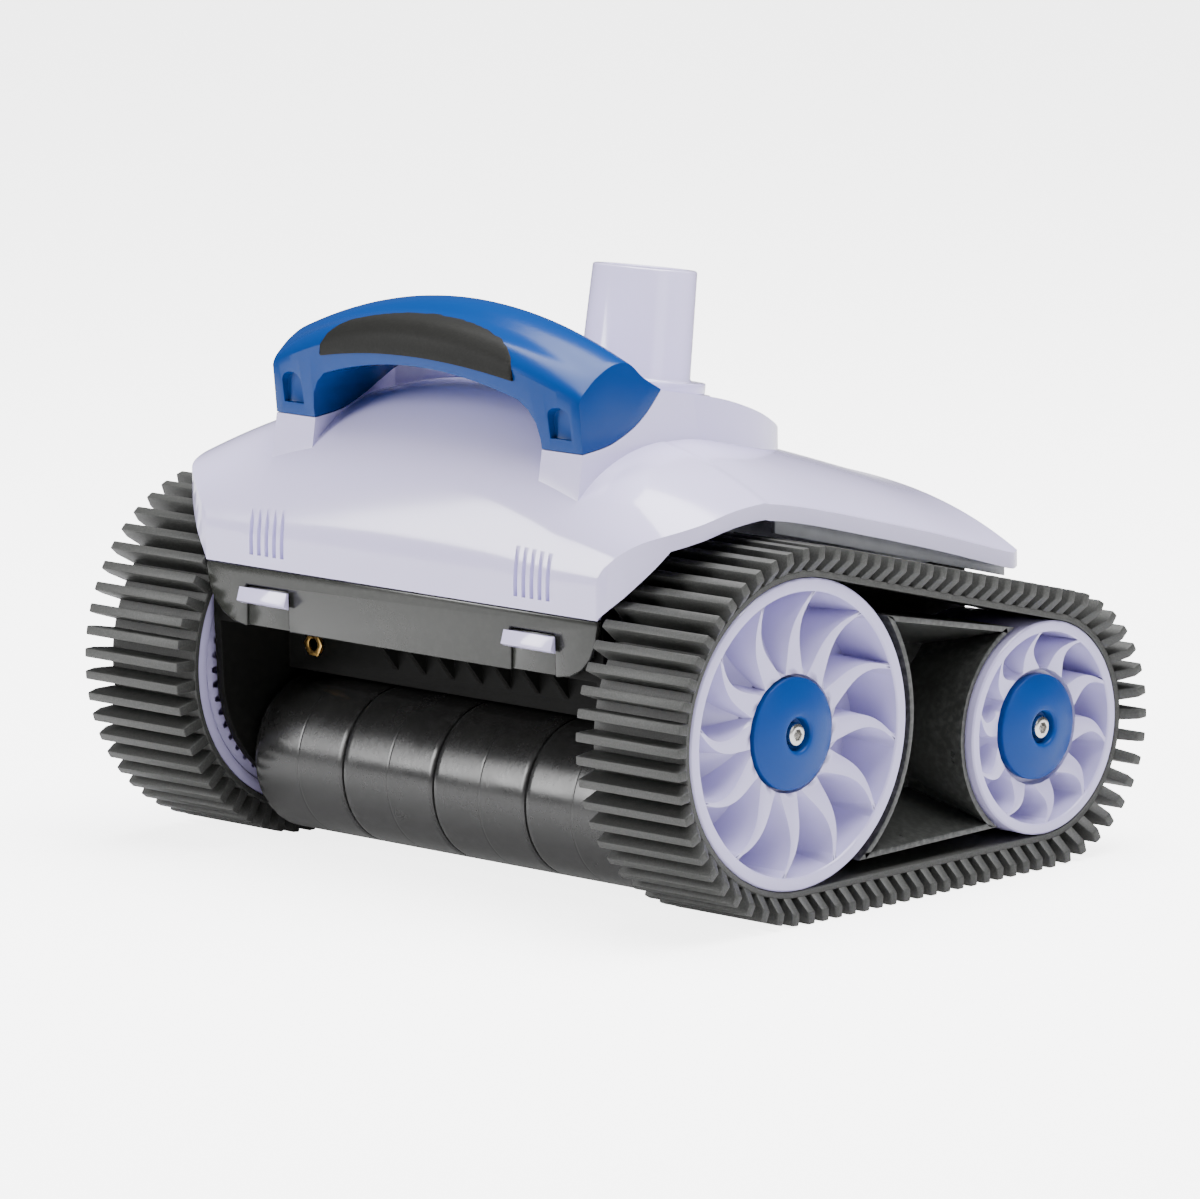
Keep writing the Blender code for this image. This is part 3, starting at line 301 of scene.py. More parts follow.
def noise_node(tree, vector, scale, detail):
    """A cloudy pattern over the surface."""
    node = tree.nodes.new("ShaderNodeTexNoise")
    tree.links.new(vector, node.inputs["Vector"])
    if isinstance(scale, (int, float)):
        node.inputs["Scale"].default_value = scale
    else:
        tree.links.new(scale, node.inputs["Scale"])
    node.inputs["Detail"].default_value = detail
    return node.outputs["Fac"]


def mix_colour(tree, share, a, b):
    """Colour a turning into colour b by share."""
    node = tree.nodes.new("ShaderNodeMix")
    node.data_type = "RGBA"
    for socket, value in ((node.inputs[0], share), (node.inputs[6], a), (node.inputs[7], b)):
        if isinstance(value, (int, float, tuple)):
            socket.default_value = value
        else:
            tree.links.new(value, socket)
    return node.outputs[2]


moulded, g_in, g_out = new_group(
    "moulded_surface",
    [("Colour", "NodeSocketColor", None), ("Shade Colour", "NodeSocketColor", None),
     ("Roughness", "NodeSocketFloat", 0.3), ("Roughness Spread", "NodeSocketFloat", 0.1),
     ("Grain Scale", "NodeSocketFloat", 900.0), ("Grain Height", "NodeSocketFloat", 0.1)],
    [("Colour", "NodeSocketColor"), ("Roughness", "NodeSocketFloat"), ("Normal", "NodeSocketVector")])
place = moulded.nodes.new("ShaderNodeTexCoord").outputs["Object"]
drift = noise_node(moulded, place, 14.0, 3.0)
moulded.links.new(mix_colour(moulded, math_node(moulded, "MULTIPLY", drift, 0.6), g_in.outputs["Colour"],
                             g_in.outputs["Shade Colour"]), g_out.inputs["Colour"])
smear = noise_node(moulded, place, 55.0, 6.0)
spread = math_node(moulded, "MULTIPLY", math_node(moulded, "SUBTRACT", smear, 0.5),
                   g_in.outputs["Roughness Spread"])
moulded.links.new(math_node(moulded, "ADD", g_in.outputs["Roughness"], spread, True),
                  g_out.inputs["Roughness"])
grain = noise_node(moulded, place, g_in.outputs["Grain Scale"], 2.0)
swell = math_node(moulded, "MULTIPLY", noise_node(moulded, place, 30.0, 1.0), 2.0)
bump = moulded.nodes.new("ShaderNodeBump")
bump.inputs["Distance"].default_value = 0.0002
moulded.links.new(g_in.outputs["Grain Height"], bump.inputs["Strength"])
moulded.links.new(math_node(moulded, "ADD", grain, swell), bump.inputs["Height"])
moulded.links.new(bump.outputs[0], g_out.inputs["Normal"])

# %% Group: pale edges, dusting or a painted highlight
dust_and_sheen_group, d_in, d_out = new_group(
    "edge_dust_and_sheen",
    [("Colour", "NodeSocketColor", None), ("Dust And Sheen Colour", "NodeSocketColor", None),
     ("Amount", "NodeSocketFloat", 0.5), ("Speckle Scale", "NodeSocketFloat", 400.0)],
    [("Colour", "NodeSocketColor"), ("Mask", "NodeSocketFloat")])
# paler on sharp edges and in speckles: dusting on most finishes, a painted highlight on the track boxes
edge = dust_and_sheen_group.nodes.new("ShaderNodeNewGeometry").outputs["Pointiness"]
edge = math_node(dust_and_sheen_group, "MULTIPLY", math_node(dust_and_sheen_group, "SUBTRACT", edge, 0.505), 9.0, True)
place = dust_and_sheen_group.nodes.new("ShaderNodeTexCoord").outputs["Object"]
spots = noise_node(dust_and_sheen_group, place, d_in.outputs["Speckle Scale"], 5.0)
spots = math_node(dust_and_sheen_group, "MULTIPLY", math_node(dust_and_sheen_group, "SUBTRACT", spots, 0.42), 2.6, True)
on_edges = math_node(dust_and_sheen_group, "MULTIPLY", edge, spots)
all_over = math_node(dust_and_sheen_group, "MULTIPLY", spots, 0.16)
mask = math_node(dust_and_sheen_group, "MULTIPLY", math_node(dust_and_sheen_group, "ADD", on_edges, all_over), d_in.outputs["Amount"], True)
dust_and_sheen_group.links.new(mix_colour(dust_and_sheen_group, mask, d_in.outputs["Colour"], d_in.outputs["Dust And Sheen Colour"]),
                d_out.inputs["Colour"])
dust_and_sheen_group.links.new(mask, d_out.inputs["Mask"])
print("groups:", moulded.name, dust_and_sheen_group.name)


# %% Materials of the machine
def finish(name, colour, shade, roughness, spread, grain_scale, grain_height, coat=0.0, metallic=0.0,
           dust_and_sheen=None, specular=0.5):
    """A finish from its two colours, its gloss and its grain. dust_and_sheen gives the colour, amount and
    scale of its pale edges: dusting on most parts, a painted highlight on the track boxes.
    """
    made = bpy.data.materials.new(name)
    made.use_nodes = True
    tree = made.node_tree
    shader = tree.nodes["Principled BSDF"]
    surface = tree.nodes.new("ShaderNodeGroup")
    surface.node_tree = moulded
    for socket, value in (("Colour", (*colour, 1)), ("Shade Colour", (*shade, 1)),
                          ("Roughness", roughness), ("Roughness Spread", spread),
                          ("Grain Scale", grain_scale), ("Grain Height", grain_height)):
        surface.inputs[socket].default_value = value
    colour_out = surface.outputs["Colour"]
    if dust_and_sheen:
        dust_and_sheen_node = tree.nodes.new("ShaderNodeGroup")
        dust_and_sheen_node.node_tree = dust_and_sheen_group
        tree.links.new(colour_out, dust_and_sheen_node.inputs["Colour"])
        dust_and_sheen_node.inputs["Dust And Sheen Colour"].default_value = (*dust_and_sheen[0], 1)
        dust_and_sheen_node.inputs["Amount"].default_value = dust_and_sheen[1]
        dust_and_sheen_node.inputs["Speckle Scale"].default_value = dust_and_sheen[2]
        colour_out = dust_and_sheen_node.outputs["Colour"]
    tree.links.new(colour_out, shader.inputs["Base Color"])
    tree.links.new(surface.outputs["Roughness"], shader.inputs["Roughness"])
    tree.links.new(surface.outputs["Normal"], shader.inputs["Normal"])
    shader.inputs["Metallic"].default_value = metallic
    shader.inputs["Coat Weight"].default_value = coat
    shader.inputs["Coat Roughness"].default_value = 0.08
    shader.inputs["Specular IOR Level"].default_value = specular
    return made


WHITE = finish("white_shell", (0.66, 0.61, 0.90), (0.59, 0.545, 0.84), 0.13, 0.06, 1400, 0.04, coat=0.5)
# a darker copy of the shell's white plastic: painted shade for the wheels and ring gears
WHEEL_WHITE_PAINTED_SHADE = finish("white_wheel_painted_shade", (0.54, 0.50, 0.78), (0.46, 0.42, 0.69), 0.22, 0.10, 1400, 0.05, coat=0.2)
BLUE = finish("blue_handle", (0.0, 0.039, 0.20), (0.0, 0.031, 0.16), 0.24, 0.08, 1500, 0.06, specular=0.2)
# the caps turn a lighter blue along their edges and in fine speckles
CAP_BLUE = finish("blue_cap", (0.0, 0.044, 0.24), (0.0, 0.035, 0.19), 0.36, 0.08, 1700, 0.10,
                  dust_and_sheen=((0.005, 0.07, 0.27), 0.25, 700), specular=0.2)
# a darker, duller black than the panel's own plastic: painted shade in the bay under the front panel
BAY_BLACK_PAINTED_SHADE = finish("black_bay_painted_shade", (0.0045, 0.0045, 0.0042), (0.008, 0.008, 0.0075), 0.50, 0.14, 1200, 0.08,
                   dust_and_sheen=((0.05, 0.05, 0.045), 0.10, 300), specular=0.06)
BLACK = finish("black_casing", (0.017, 0.018, 0.016), (0.026, 0.027, 0.023), 0.20, 0.14, 1200, 0.08,
               dust_and_sheen=((0.10, 0.10, 0.09), 0.15, 300))
# the track boxes' pale edges and speckles are a painted highlight round the box rim
BOX_BLACK_PAINTED_RIM_HIGHLIGHT = finish("black_track_box_painted_rim_highlight", (0.018, 0.019, 0.018), (0.028, 0.029, 0.027), 0.30, 0.12, 1500, 0.10,
                     dust_and_sheen=((0.22, 0.23, 0.22), 0.55, 500))
RUBBER = finish("track_rubber", (0.030, 0.031, 0.029), (0.042, 0.043, 0.041), 0.55, 0.12, 2600, 0.22,
                dust_and_sheen=((0.13, 0.13, 0.122), 0.40, 1500))
ROLLER = finish("roller_rubber", (0.014, 0.014, 0.014), (0.024, 0.024, 0.023), 0.24, 0.22, 500, 0.12,
                dust_and_sheen=((0.10, 0.10, 0.10), 0.4, 260))
GRIP = finish("grip_rubber", (0.011, 0.011, 0.010), (0.018, 0.018, 0.017), 0.55, 0.16, 1400, 0.22,
              dust_and_sheen=((0.05, 0.05, 0.047), 0.3, 900), specular=0.12)
GREY = finish("grey_wall", (0.62, 0.64, 0.68), (0.52, 0.54, 0.58), 0.36, 0.14, 700, 0.12,
              dust_and_sheen=((0.20, 0.21, 0.22), 0.4, 160))
ACETAL = finish("acetal", (0.74, 0.74, 0.71), (0.66, 0.66, 0.62), 0.38, 0.1, 1200, 0.1)
STEEL = finish("stainless_steel", (0.62, 0.61, 0.59), (0.50, 0.49, 0.47), 0.24, 0.2, 900, 0.12, metallic=1.0)
BRASS = finish("brass", (0.72, 0.45, 0.14), (0.52, 0.30, 0.09), 0.30, 0.2, 900, 0.15, metallic=1.0)
print("materials:", len(bpy.data.materials))


# %% [markdown]
# ## Track belts
# A belt is a rubber band moulded with eighty straight teeth. One tooth is traced from its side,
# drawn out to its thickness and narrowed at the tip, then set down all round the path. The band
# itself starts as a circle of points moved onto the same path, drawn across and given a wall.

# %% Path of the belt round both wheels
FRONT_AXLE, REAR_AXLE = (-0.0574, 0.0681), (0.0741, 0.0514)
FRONT_R, REAR_R = 0.0563, 0.0396
AXLE_SPACING = REAR_AXLE[0] - FRONT_AXLE[0]
BELT_ROOT, BELT_THICK = 0.0027, 0.0024
SLOPE = math.asin((FRONT_R - REAR_R) / math.hypot(AXLE_SPACING, FRONT_AXLE[1] - REAR_AXLE[1]))


def belt_point(share, out):
    """(y, z) and outward angle at a share of the way round, out from the wheels by out."""
    middle = BELT_ROOT - BELT_THICK / 2
    rear_turn, front_turn = math.pi - 2 * SLOPE, math.pi + 2 * SLOPE
    runs = (AXLE_SPACING, (REAR_R + middle) * rear_turn, AXLE_SPACING, (FRONT_R + middle) * front_turn)
    length = share % 1.0 * sum(runs)
    angle, along, centre, radius = -math.pi / 2, 0.0, FRONT_AXLE, FRONT_R
    if length < runs[0]:
        along = length
    elif length < runs[0] + runs[1]:
        angle += (length - runs[0]) / (REAR_R + middle)
        centre, radius = REAR_AXLE, REAR_R
    elif length < sum(runs[:3]):
        angle += rear_turn
        along, centre, radius = length - runs[0] - runs[1], REAR_AXLE, REAR_R
    else:
        angle += rear_turn + (length - sum(runs[:3])) / (FRONT_R + middle)
    reach = radius + out
    return (centre[0] + reach * math.cos(angle) - along * math.sin(angle),
            centre[1] + reach * math.sin(angle) + along * math.cos(angle)), angle


# %% One tooth
TRACK_INNER, BELT_OUTER, TOOTH_END, TOOTH_HEIGHT = 0.1032, 0.1484, 0.1536, 0.0091
TOOTH_BASE, TOOTH_TIP, TEETH = 0.0043, 0.0034, 80
side_view = [(TRACK_INNER, -0.0004), (BELT_OUTER, -0.0004), (TOOTH_END, TOOTH_HEIGHT - 0.0044),
             (TOOTH_END, TOOTH_HEIGHT), (TRACK_INNER, TOOTH_HEIGHT)]
tooth = trace("tooth", [(x, -TOOTH_BASE / 2, h) for x, h in side_view], closed=True)
bpy.ops.mesh.extrude_region_move(TRANSFORM_OT_translate={"value": (0, TOOTH_BASE, 0)})
close_up()
for vertex in tooth.data.vertices:
    if vertex.co.z > 0.001:
        narrowing = 1 - (1 - TOOTH_TIP / TOOTH_BASE) * vertex.co.z / TOOTH_HEIGHT
        vertex.co.y *= narrowing
soften(tooth, 0.00055, 2)
print("one tooth has", len(tooth.data.polygons), "faces")

# %% The band, and the teeth set round it
BAND_STEPS, BAND_GAP = 240, 0.0003
clear_selection()
bpy.ops.mesh.primitive_circle_add(vertices=BAND_STEPS, radius=0.06, rotation=(0, math.radians(90), 0))
band = bpy.context.object
bpy.ops.object.transform_apply(location=True, rotation=True, scale=True)
for index, vertex in enumerate(band.data.vertices):
    (y, z), _ = belt_point(1 - index / BAND_STEPS, BAND_GAP)
    vertex.co = (TRACK_INNER, y, z)
bpy.ops.object.mode_set(mode="EDIT")
bpy.ops.mesh.select_all(action="SELECT")
bpy.ops.mesh.extrude_region_move(TRANSFORM_OT_translate={"value": (BELT_OUTER - TRACK_INNER, 0, 0)})
close_up()
wall = band.modifiers.new("wall", "SOLIDIFY")
wall.thickness, wall.offset, wall.use_even_offset = BELT_THICK, 1.0, True
apply_all(band)
soften(band, 0.0004, 1, 60)
teeth = []
for index in range(TEETH):
    (y, z), angle = belt_point(index / TEETH, BELT_ROOT)
    out_y, out_z = math.cos(angle), math.sin(angle)
    spot = Matrix(((1, 0, 0, 0), (0, out_z, out_y, y), (0, -out_y, out_z, z), (0, 0, 0, 1)))
    teeth.append(copied(tooth, "tooth_%d" % index, spot))
bpy.data.objects.remove(tooth, do_unlink=True)
belt = joined("belt", [band] + teeth)
both_sides(belt, "belt_*", RUBBER, "chassis", "track_rubber", "track_belt_*")


# %% [markdown]
# ## Wheels
# The wheel's face is a fan: broad blades at the hub that narrow to a point at the rim, with
# deep pockets between them. A face like that follows curved lines, so a grid is rolled round
# the hub by a formula, and the plain drum behind it is spun from its profile and merged on.

# %% Wheel maker
WHEEL_FACE, WHEEL_BACK, WHEEL_WEB, HUB_FACE = 0.1485, 0.1038, 0.1200, 0.1412
HUB_DROP = 0.0042


def fan_wheel(name, axle, radius, blades, rim, phase, back=WHEEL_BACK, bore=0.0089):
    """A fan face rolled round the hub, with the drum behind it."""
    columns_each, rows, hub = 12, 12, 0.0216
    columns, inner_rim = blades * columns_each, radius - rim
    clear_selection()
    bpy.ops.mesh.primitive_grid_add(x_subdivisions=columns, y_subdivisions=rows, size=2)
    face = bpy.context.object
    pitch = 2 * math.pi / blades
    for vertex in face.data.vertices:
        column = round((vertex.co.x + 1) / 2 * columns)
        share = (vertex.co.y + 1) / 2
        r = hub + (inner_rim - hub) * share
        top = WHEEL_FACE - HUB_DROP + 0.0036 * share
        floor_x = WHEEL_FACE - 0.0075 - 0.0145 * math.sin(share * math.pi / 2) ** 1.2
        if share < 1e-4:
            floor_x = top
        blade_half = (0.0038 * (1 - share) ** 1.25 + 0.0007) / r
        spot = column % columns_each
        # 0 is the blade's middle, 1 and 11 its edges, 2 and 10 the foot of its walls
        steps = {0: (0.0, top), 1: (blade_half, top), 11: (pitch - blade_half, top)}
        if spot in steps:
            angle, x = steps[spot]
        else:
            lean = 0.0011 / r
            low, high = blade_half + lean, pitch - blade_half - lean * 2.4
            across = (spot - 2) / 8
            angle = low + (high - low) * across
            x = floor_x + (0.0016 * share) * math.cos(across * math.pi)
            if share > 0.9999:
                x = top
        bend = math.radians(6.5) * math.sin(math.pi * share) - math.radians(5.0) * share
        angle += pitch * (column // columns_each) + phase + bend
        vertex.co = (x, axle[0] + r * math.cos(angle), axle[1] + r * math.sin(angle))
    boss, edge, inner = 0.0130, WHEEL_FACE - 0.0006, radius - 0.004
    profile = [(inner_rim, edge), (inner_rim + 0.0005, WHEEL_FACE), (radius - 0.0006, WHEEL_FACE),
               (radius, edge), (radius, back), (inner, back), (inner, WHEEL_WEB),
               (boss, WHEEL_WEB), (boss, back + 0.004), (bore, back + 0.004), (bore, HUB_FACE),
               (hub - 0.0006, HUB_FACE), (hub, WHEEL_FACE - HUB_DROP)]
    drum = turned(name + "_drum", profile, (0, *axle), columns, ring=False)
    made = joined(name, [face, drum])
    bpy.ops.object.mode_set(mode="EDIT")
    close_up()
    return soften(made, 0.00045, 2, 28)


front_wheel = fan_wheel("front_wheel", FRONT_AXLE, FRONT_R, 12, 0.0048, math.radians(25))
# the wheels take the darker white as painted shade
both_sides(front_wheel, "wheel_front_*", WHEEL_WHITE_PAINTED_SHADE, "front_wheel_*", "white_plastic", "front_wheel_*")
rear_wheel = fan_wheel("rear_wheel", REAR_AXLE, REAR_R, 10, 0.0040, math.radians(25))
both_sides(rear_wheel, "wheel_rear_*", WHEEL_WHITE_PAINTED_SHADE, "rear_wheel_*", "white_plastic", "rear_wheel_*")


# %% [markdown]
# ## Hub caps and wheel screws
# The cap is a shallow dome with a dark well round the screw. The screw's head is spun, and its
# hexagon socket is a six-sided cylinder cut out of it.

# %% Hub caps
def dome_cap(name, axle, radius):
    """A shallow dome with a well for the screw, its edge set back a little."""
    well, crown, drop, under = 0.0070, 0.1483, 0.0031, 0.1416
    dome = [(well + (radius - well) * i / 8, crown - drop * (i / 8) ** 1.7) for i in range(9)]
    profile = dome + [(radius, under), (0.0036, under), (0.0036, 0.1442), (0.0060, 0.1442), (0.0062, 0.1476)]
    return soften(turned(name, profile, (0, *axle), 72), 0.0003, 2, 40)


both_sides(dome_cap("cap", FRONT_AXLE, 0.0204), "cap_front_*", CAP_BLUE, "front_wheel_*", "blue_plastic",
           "front_hub_cap_*")
both_sides(dome_cap("cap", REAR_AXLE, 0.0195), "cap_rear_*", CAP_BLUE, "rear_wheel_*", "blue_plastic",
           "rear_hub_cap_*")


# %% Wheel screws
def socket_screw(name, axle):
    """A domed head on its stem, with a hexagon socket."""
    head_r, stem_r, crown, seat, tip = 0.0043, 0.0024, 0.1476, 0.1445, 0.1310
    profile = [(0.0, crown), (0.0030, crown), (0.0039, crown - 0.0004), (head_r, crown - 0.0012),
               (head_r, seat), (stem_r, seat), (stem_r, tip), (0.0, tip)]
    head = turned(name, profile, (0, *axle), 48, ring=False)
    clear_selection()
    bpy.ops.mesh.primitive_cylinder_add(vertices=6, radius=0.0021, depth=0.005, location=(0.1478, *axle),
                                        rotation=(0, math.radians(90), 0))
    boolean(head, bpy.context.object, "DIFFERENCE")
    return soften(head, 0.00015, 2, 40)


both_sides(socket_screw("screw", FRONT_AXLE), "screw_front_*", STEEL, "front_wheel_*", "stainless_steel",
           "wheel_screw_front_*")
both_sides(socket_screw("screw", REAR_AXLE), "screw_rear_*", STEEL, "rear_wheel_*", "stainless_steel",
           "wheel_screw_rear_*")


# %% [markdown]
# ## Track boxes
# The black box between the wheels is an outline of two arcs, drawn out, inset for its rim and
# pressed in with a smaller floor, so that its walls lean as a moulding's do.

# %% Track boxes
def arc(centre, radius, count, start, stop):
    """count points along a round stretch, from start to stop degrees."""
    return [(centre[0] + radius * math.cos(math.radians(start + (stop - start) * i / (count - 1))),
             centre[1] + radius * math.sin(math.radians(start + (stop - start) * i / (count - 1))))
            for i in range(count)]


BOX_IN, BOX_OUT, BOX_RIM, BOX_DEPTH = 0.1011, 0.1460, 0.0020, 0.0330
front_arc = arc(FRONT_AXLE, FRONT_R + 0.0047, 28, -57, 40.2)
outline = front_arc[:-1] + arc(REAR_AXLE, REAR_R + 0.0016, 22, 109, 235)
box_left = trace("track_box", [(BOX_IN, y, z) for y, z in outline], closed=True)
bpy.ops.mesh.extrude_region_move(TRANSFORM_OT_translate={"value": (BOX_OUT - BOX_IN, 0, 0)})
bpy.ops.mesh.inset(thickness=BOX_RIM)
bpy.ops.mesh.extrude_region_move(TRANSFORM_OT_translate={"value": (-BOX_DEPTH, 0, 0)})
bpy.ops.transform.resize(value=(1, 0.90, 0.74), center_override=(0.113, 0.0150, 0.060))
close_up()
soften(box_left, 0.0006, 2)
# the box takes the black with the painted rim highlight
both_sides(box_left, "track_box_*", BOX_BLACK_PAINTED_RIM_HIGHLIGHT, "chassis", "black_plastic", "side_frame_*")

# %% [markdown]
# ## Top cover
# The white shell is one flowing surface: an upright nose that rolls back, two mudguards that
# sweep out and down, and a long deck with fine slats. Shapes like that can't be drawn out or
# spun, so a fine grid is added and laid onto the surface by a formula, its edge is drawn down
# as a lip, and a wall is added. The round platform and the handle's posts are joined on.

# %% Lines that the cover follows
FRONT_Y, REAR_Y, SEAM_Z, CREST_Y = -0.1114, 0.0846, 0.1112, -0.0534
BODY_HALF, FENDER_HALF, LIP = 0.1008, 0.1290, 0.0060


def smooth_between(value, rows):
    """A smooth curve through a short table of (place, value) rows."""
    if value <= rows[0][0]:
        return rows[0][1]
    if value >= rows[-1][0]:
        return rows[-1][1]
    slopes = []
    for i in range(len(rows)):
        a, b = rows[max(0, i - 1)], rows[min(len(rows) - 1, i + 1)]
        slopes.append((b[1] - a[1]) / (b[0] - a[0]))
    for i, ((a, va), (b, vb)) in enumerate(zip(rows, rows[1:])):
        if value <= b:
            h, t = b - a, (value - a) / (b - a)
            return ((2 * t ** 3 - 3 * t ** 2 + 1) * va + (t ** 3 - 2 * t ** 2 + t) * h * slopes[i]
                    + (3 * t ** 2 - 2 * t ** 3) * vb + (t ** 3 - t ** 2) * h * slopes[i + 1])


RIM_LINE = [(-0.1114, 0.1240), (-0.1060, 0.1330), (-0.0974, 0.1412), (-0.0873, 0.1464), (-0.0693, 0.1494),
            (-0.0563, 0.1492), (-0.0355, 0.1455), (0.0014, 0.1360), (0.0390, 0.1256), (0.0717, 0.1158),
            (REAR_Y, 0.1122)]
WIDTH_LINE = [(FRONT_Y, BODY_HALF), (-0.1060, 0.1115), (-0.0974, 0.1225), (-0.0873, 0.1278),
              (-0.0750, FENDER_HALF), (REAR_Y - 0.0060, FENDER_HALF), (REAR_Y, FENDER_HALF - 0.0030)]
SLAT_PITCH, SLAT_DEPTH = 0.0036, 0.0011
TURRET_Y = -0.0244


def cover_height(x, y):
    """Height of the cover's top surface at a place."""
    across = min(1.0, abs(x) / FENDER_HALF)
    hump = 0.0095 * max(0.0, 1 - (x / 0.078) ** 2)
    crest = 0.1492 + 0.0223 * (1 - across ** 3) + hump
    if y < CREST_Y:
        start = 0.1180 + 0.0060 * across ** 2
        share = min(1.0, (CREST_Y - y) / (CREST_Y - FRONT_Y))
        return start + (crest - start) * math.sqrt(max(0.0, 1 - share ** 2))
    crown = smooth_between(y, [(CREST_Y, 0.0223), (-0.0355, 0.0252), (0.0, 0.0255), (REAR_Y, 0.0240)])
    fade = max(0.0, 1 - (y - CREST_Y) / 0.06) ** 2
    return smooth_between(y, RIM_LINE) + crown * (1 - across ** 3) + hump * fade


# %% The shell
COLUMNS, ROWS = 216, 110
clear_selection()
bpy.ops.mesh.primitive_grid_add(x_subdivisions=COLUMNS, y_subdivisions=ROWS, size=2)
cover = bpy.context.object
cover.name = cover.data.name = "top_shell"
for vertex in cover.data.vertices:
    across, along = vertex.co.x, (vertex.co.y + 1) / 2
    y = FRONT_Y + (REAR_Y - FRONT_Y) * along ** 1.55
    x = across * smooth_between(y, WIDTH_LINE)
    z = cover_height(x, y)
    behind = math.hypot(x, y - TURRET_Y) - 0.0850
    reach = min(1.0, max(0.0, behind / 0.006)) * min(1.0, max(0.0, (0.0800 - y) / 0.005))
    if abs(x) < 0.0600 and y > 0.0 and reach > 0:
        wave = math.cos(2 * math.pi * x / SLAT_PITCH)
        z -= SLAT_DEPTH * reach * max(0.0, min(1.0, 0.5 + 1.6 * wave))
    vertex.co = (x, y, z)
bpy.ops.object.mode_set(mode="EDIT")
bpy.ops.mesh.select_all(action="SELECT")
bpy.ops.mesh.region_to_loop()
bpy.ops.mesh.extrude_region_move(TRANSFORM_OT_translate={"value": (0, 0, -LIP)})
bpy.ops.object.mode_set(mode="OBJECT")
NOSE_END_Y, NOSE_END_Z = -0.0974, 0.1352
edge_drop = 0
for vertex in cover.data.vertices:
    if vertex.select:
        y, x = vertex.co.y, abs(vertex.co.x)
        if y < FRONT_Y + 0.0002:
            vertex.co.z = SEAM_Z
        elif x > 0.98 * smooth_between(y, WIDTH_LINE) and y < NOSE_END_Y:
            share = (y - FRONT_Y) / (NOSE_END_Y - FRONT_Y)
            vertex.co.z = min(vertex.co.z, SEAM_Z + (NOSE_END_Z - SEAM_Z) * share ** 0.9)
        edge_drop += 1
print("lip points:", edge_drop)
wall = cover.modifiers.new("wall", "SOLIDIFY")
wall.thickness, wall.offset, wall.use_even_offset = 0.0026, -1.0, False
apply_all(cover)
print("shell faces:", len(cover.data.polygons))

# %% The round platform and the two posts
TURRET_R = 0.0789
TURRET_TOP = [(-0.0600, 0.1858), (-0.0544, 0.1851), (-0.0374, 0.1816), (-0.0234, 0.1784), (-0.0114, 0.1747),
              (0.0036, 0.1693), (0.0171, 0.1638), (0.0400, 0.1552), (0.0560, 0.1490)]
POST_INNER, POST_OUTER, POST_FRONT = 0.0584, 0.0789, -0.0949
SEAM_CURVE = [(POST_FRONT, 0.1663), (-0.0824, 0.1678), (-0.0754, 0.1699), (-0.0684, 0.1730),
              (-0.0628, 0.1767), (-0.0585, 0.1806), (-0.0542, 0.1851)]


def fine_line(rows, count):
    """A smooth line through a table, in count even steps."""
    first, last = rows[0][0], rows[-1][0]
    places = [first + (last - first) * i / count for i in range(count + 1)]
    return [(place, smooth_between(place, rows)) for place in places]


top_line = fine_line(TURRET_TOP, 28)
front_line = [(-0.0790, 0.150), (-0.0790, 0.1660), (-0.0740, 0.1745), (-0.0680, 0.1806), (-0.0630, 0.1842)]
platform = drawn_out("platform", front_line + top_line + [(0.0560, 0.135), (-0.0790, 0.135)], -0.1, 0.2)
round_plan = drawn_out("plan", arc((0, TURRET_Y), TURRET_R, 97, 0, 360)[:-1], 0.10, 0.20, (0, 0, 1))
boolean(platform, round_plan, "INTERSECT")
front_trim = drawn_out("front_trim", [(-0.2, 0.10), (0.2, 0.10), (0.2, 0.21), (-0.2, 0.21)], -0.2,
                       0.2 + CREST_Y, (0, 1, 0))
boolean(platform, front_trim, "DIFFERENCE")
boolean(cover, platform, "UNION")
POST_FOOT, POST_REAR = 0.130, -0.0320
outline = ([(POST_FRONT - 0.0035, POST_FOOT), (POST_FRONT - 0.0035, 0.1460), (POST_FRONT, 0.1660)]
           + fine_line(SEAM_CURVE, 24)
           + [(-0.0500, 0.1842), (-0.0374, 0.1814), (POST_REAR, 0.150), (POST_REAR, POST_FOOT)])
for side in (1, -1):
    post = drawn_out("post", outline, side * POST_INNER, side * (POST_OUTER - POST_INNER))
    boolean(cover, post, "UNION")
print("shell with platform and posts:", len(cover.data.polygons))

# %% Vent slots in the nose, and the seat of the hose connector
VENT_FIRST, VENT_PITCH, VENT_COUNT = 0.0604, 0.00405, 5
VENT_SIZE, VENT_Y, VENT_Z = (0.0020, 0.0314, 0.0290), -0.1250, 0.1300
for index in range(VENT_COUNT):
    for side in (1, -1):
        clear_selection()
        vent_x = side * (VENT_FIRST + VENT_PITCH * index)
        bpy.ops.mesh.primitive_cube_add(size=1, location=(vent_x, VENT_Y, VENT_Z), scale=VENT_SIZE)
        slot = bpy.context.object
        bpy.ops.object.transform_apply(location=True, rotation=True, scale=True)
        boolean(cover, slot, "DIFFERENCE")
TILT = math.radians(8.8)
SPIGOT_AXIS = Vector((0, math.sin(TILT), math.cos(TILT)))
SPIGOT_FOOT = Vector((0, 0.0136, 0.1743))
BOSS_R, SEAT_R, BORE_R, SEAT_DEPTH = 0.0300, 0.0268, 0.0218, 0.0043
boss_profile = [(0.0, -0.0044), (0.0285, -0.0044), (BOSS_R, -0.0060), (BOSS_R, -0.0300), (0.0, -0.0300)]
seat_profile = [(0.0, -SEAT_DEPTH), (0.0, 0.03), (SEAT_R, 0.03), (SEAT_R, -SEAT_DEPTH)]
bore_profile = [(0.0, 0.03), (BORE_R, 0.03), (BORE_R, -0.05), (0.0, -0.05)]
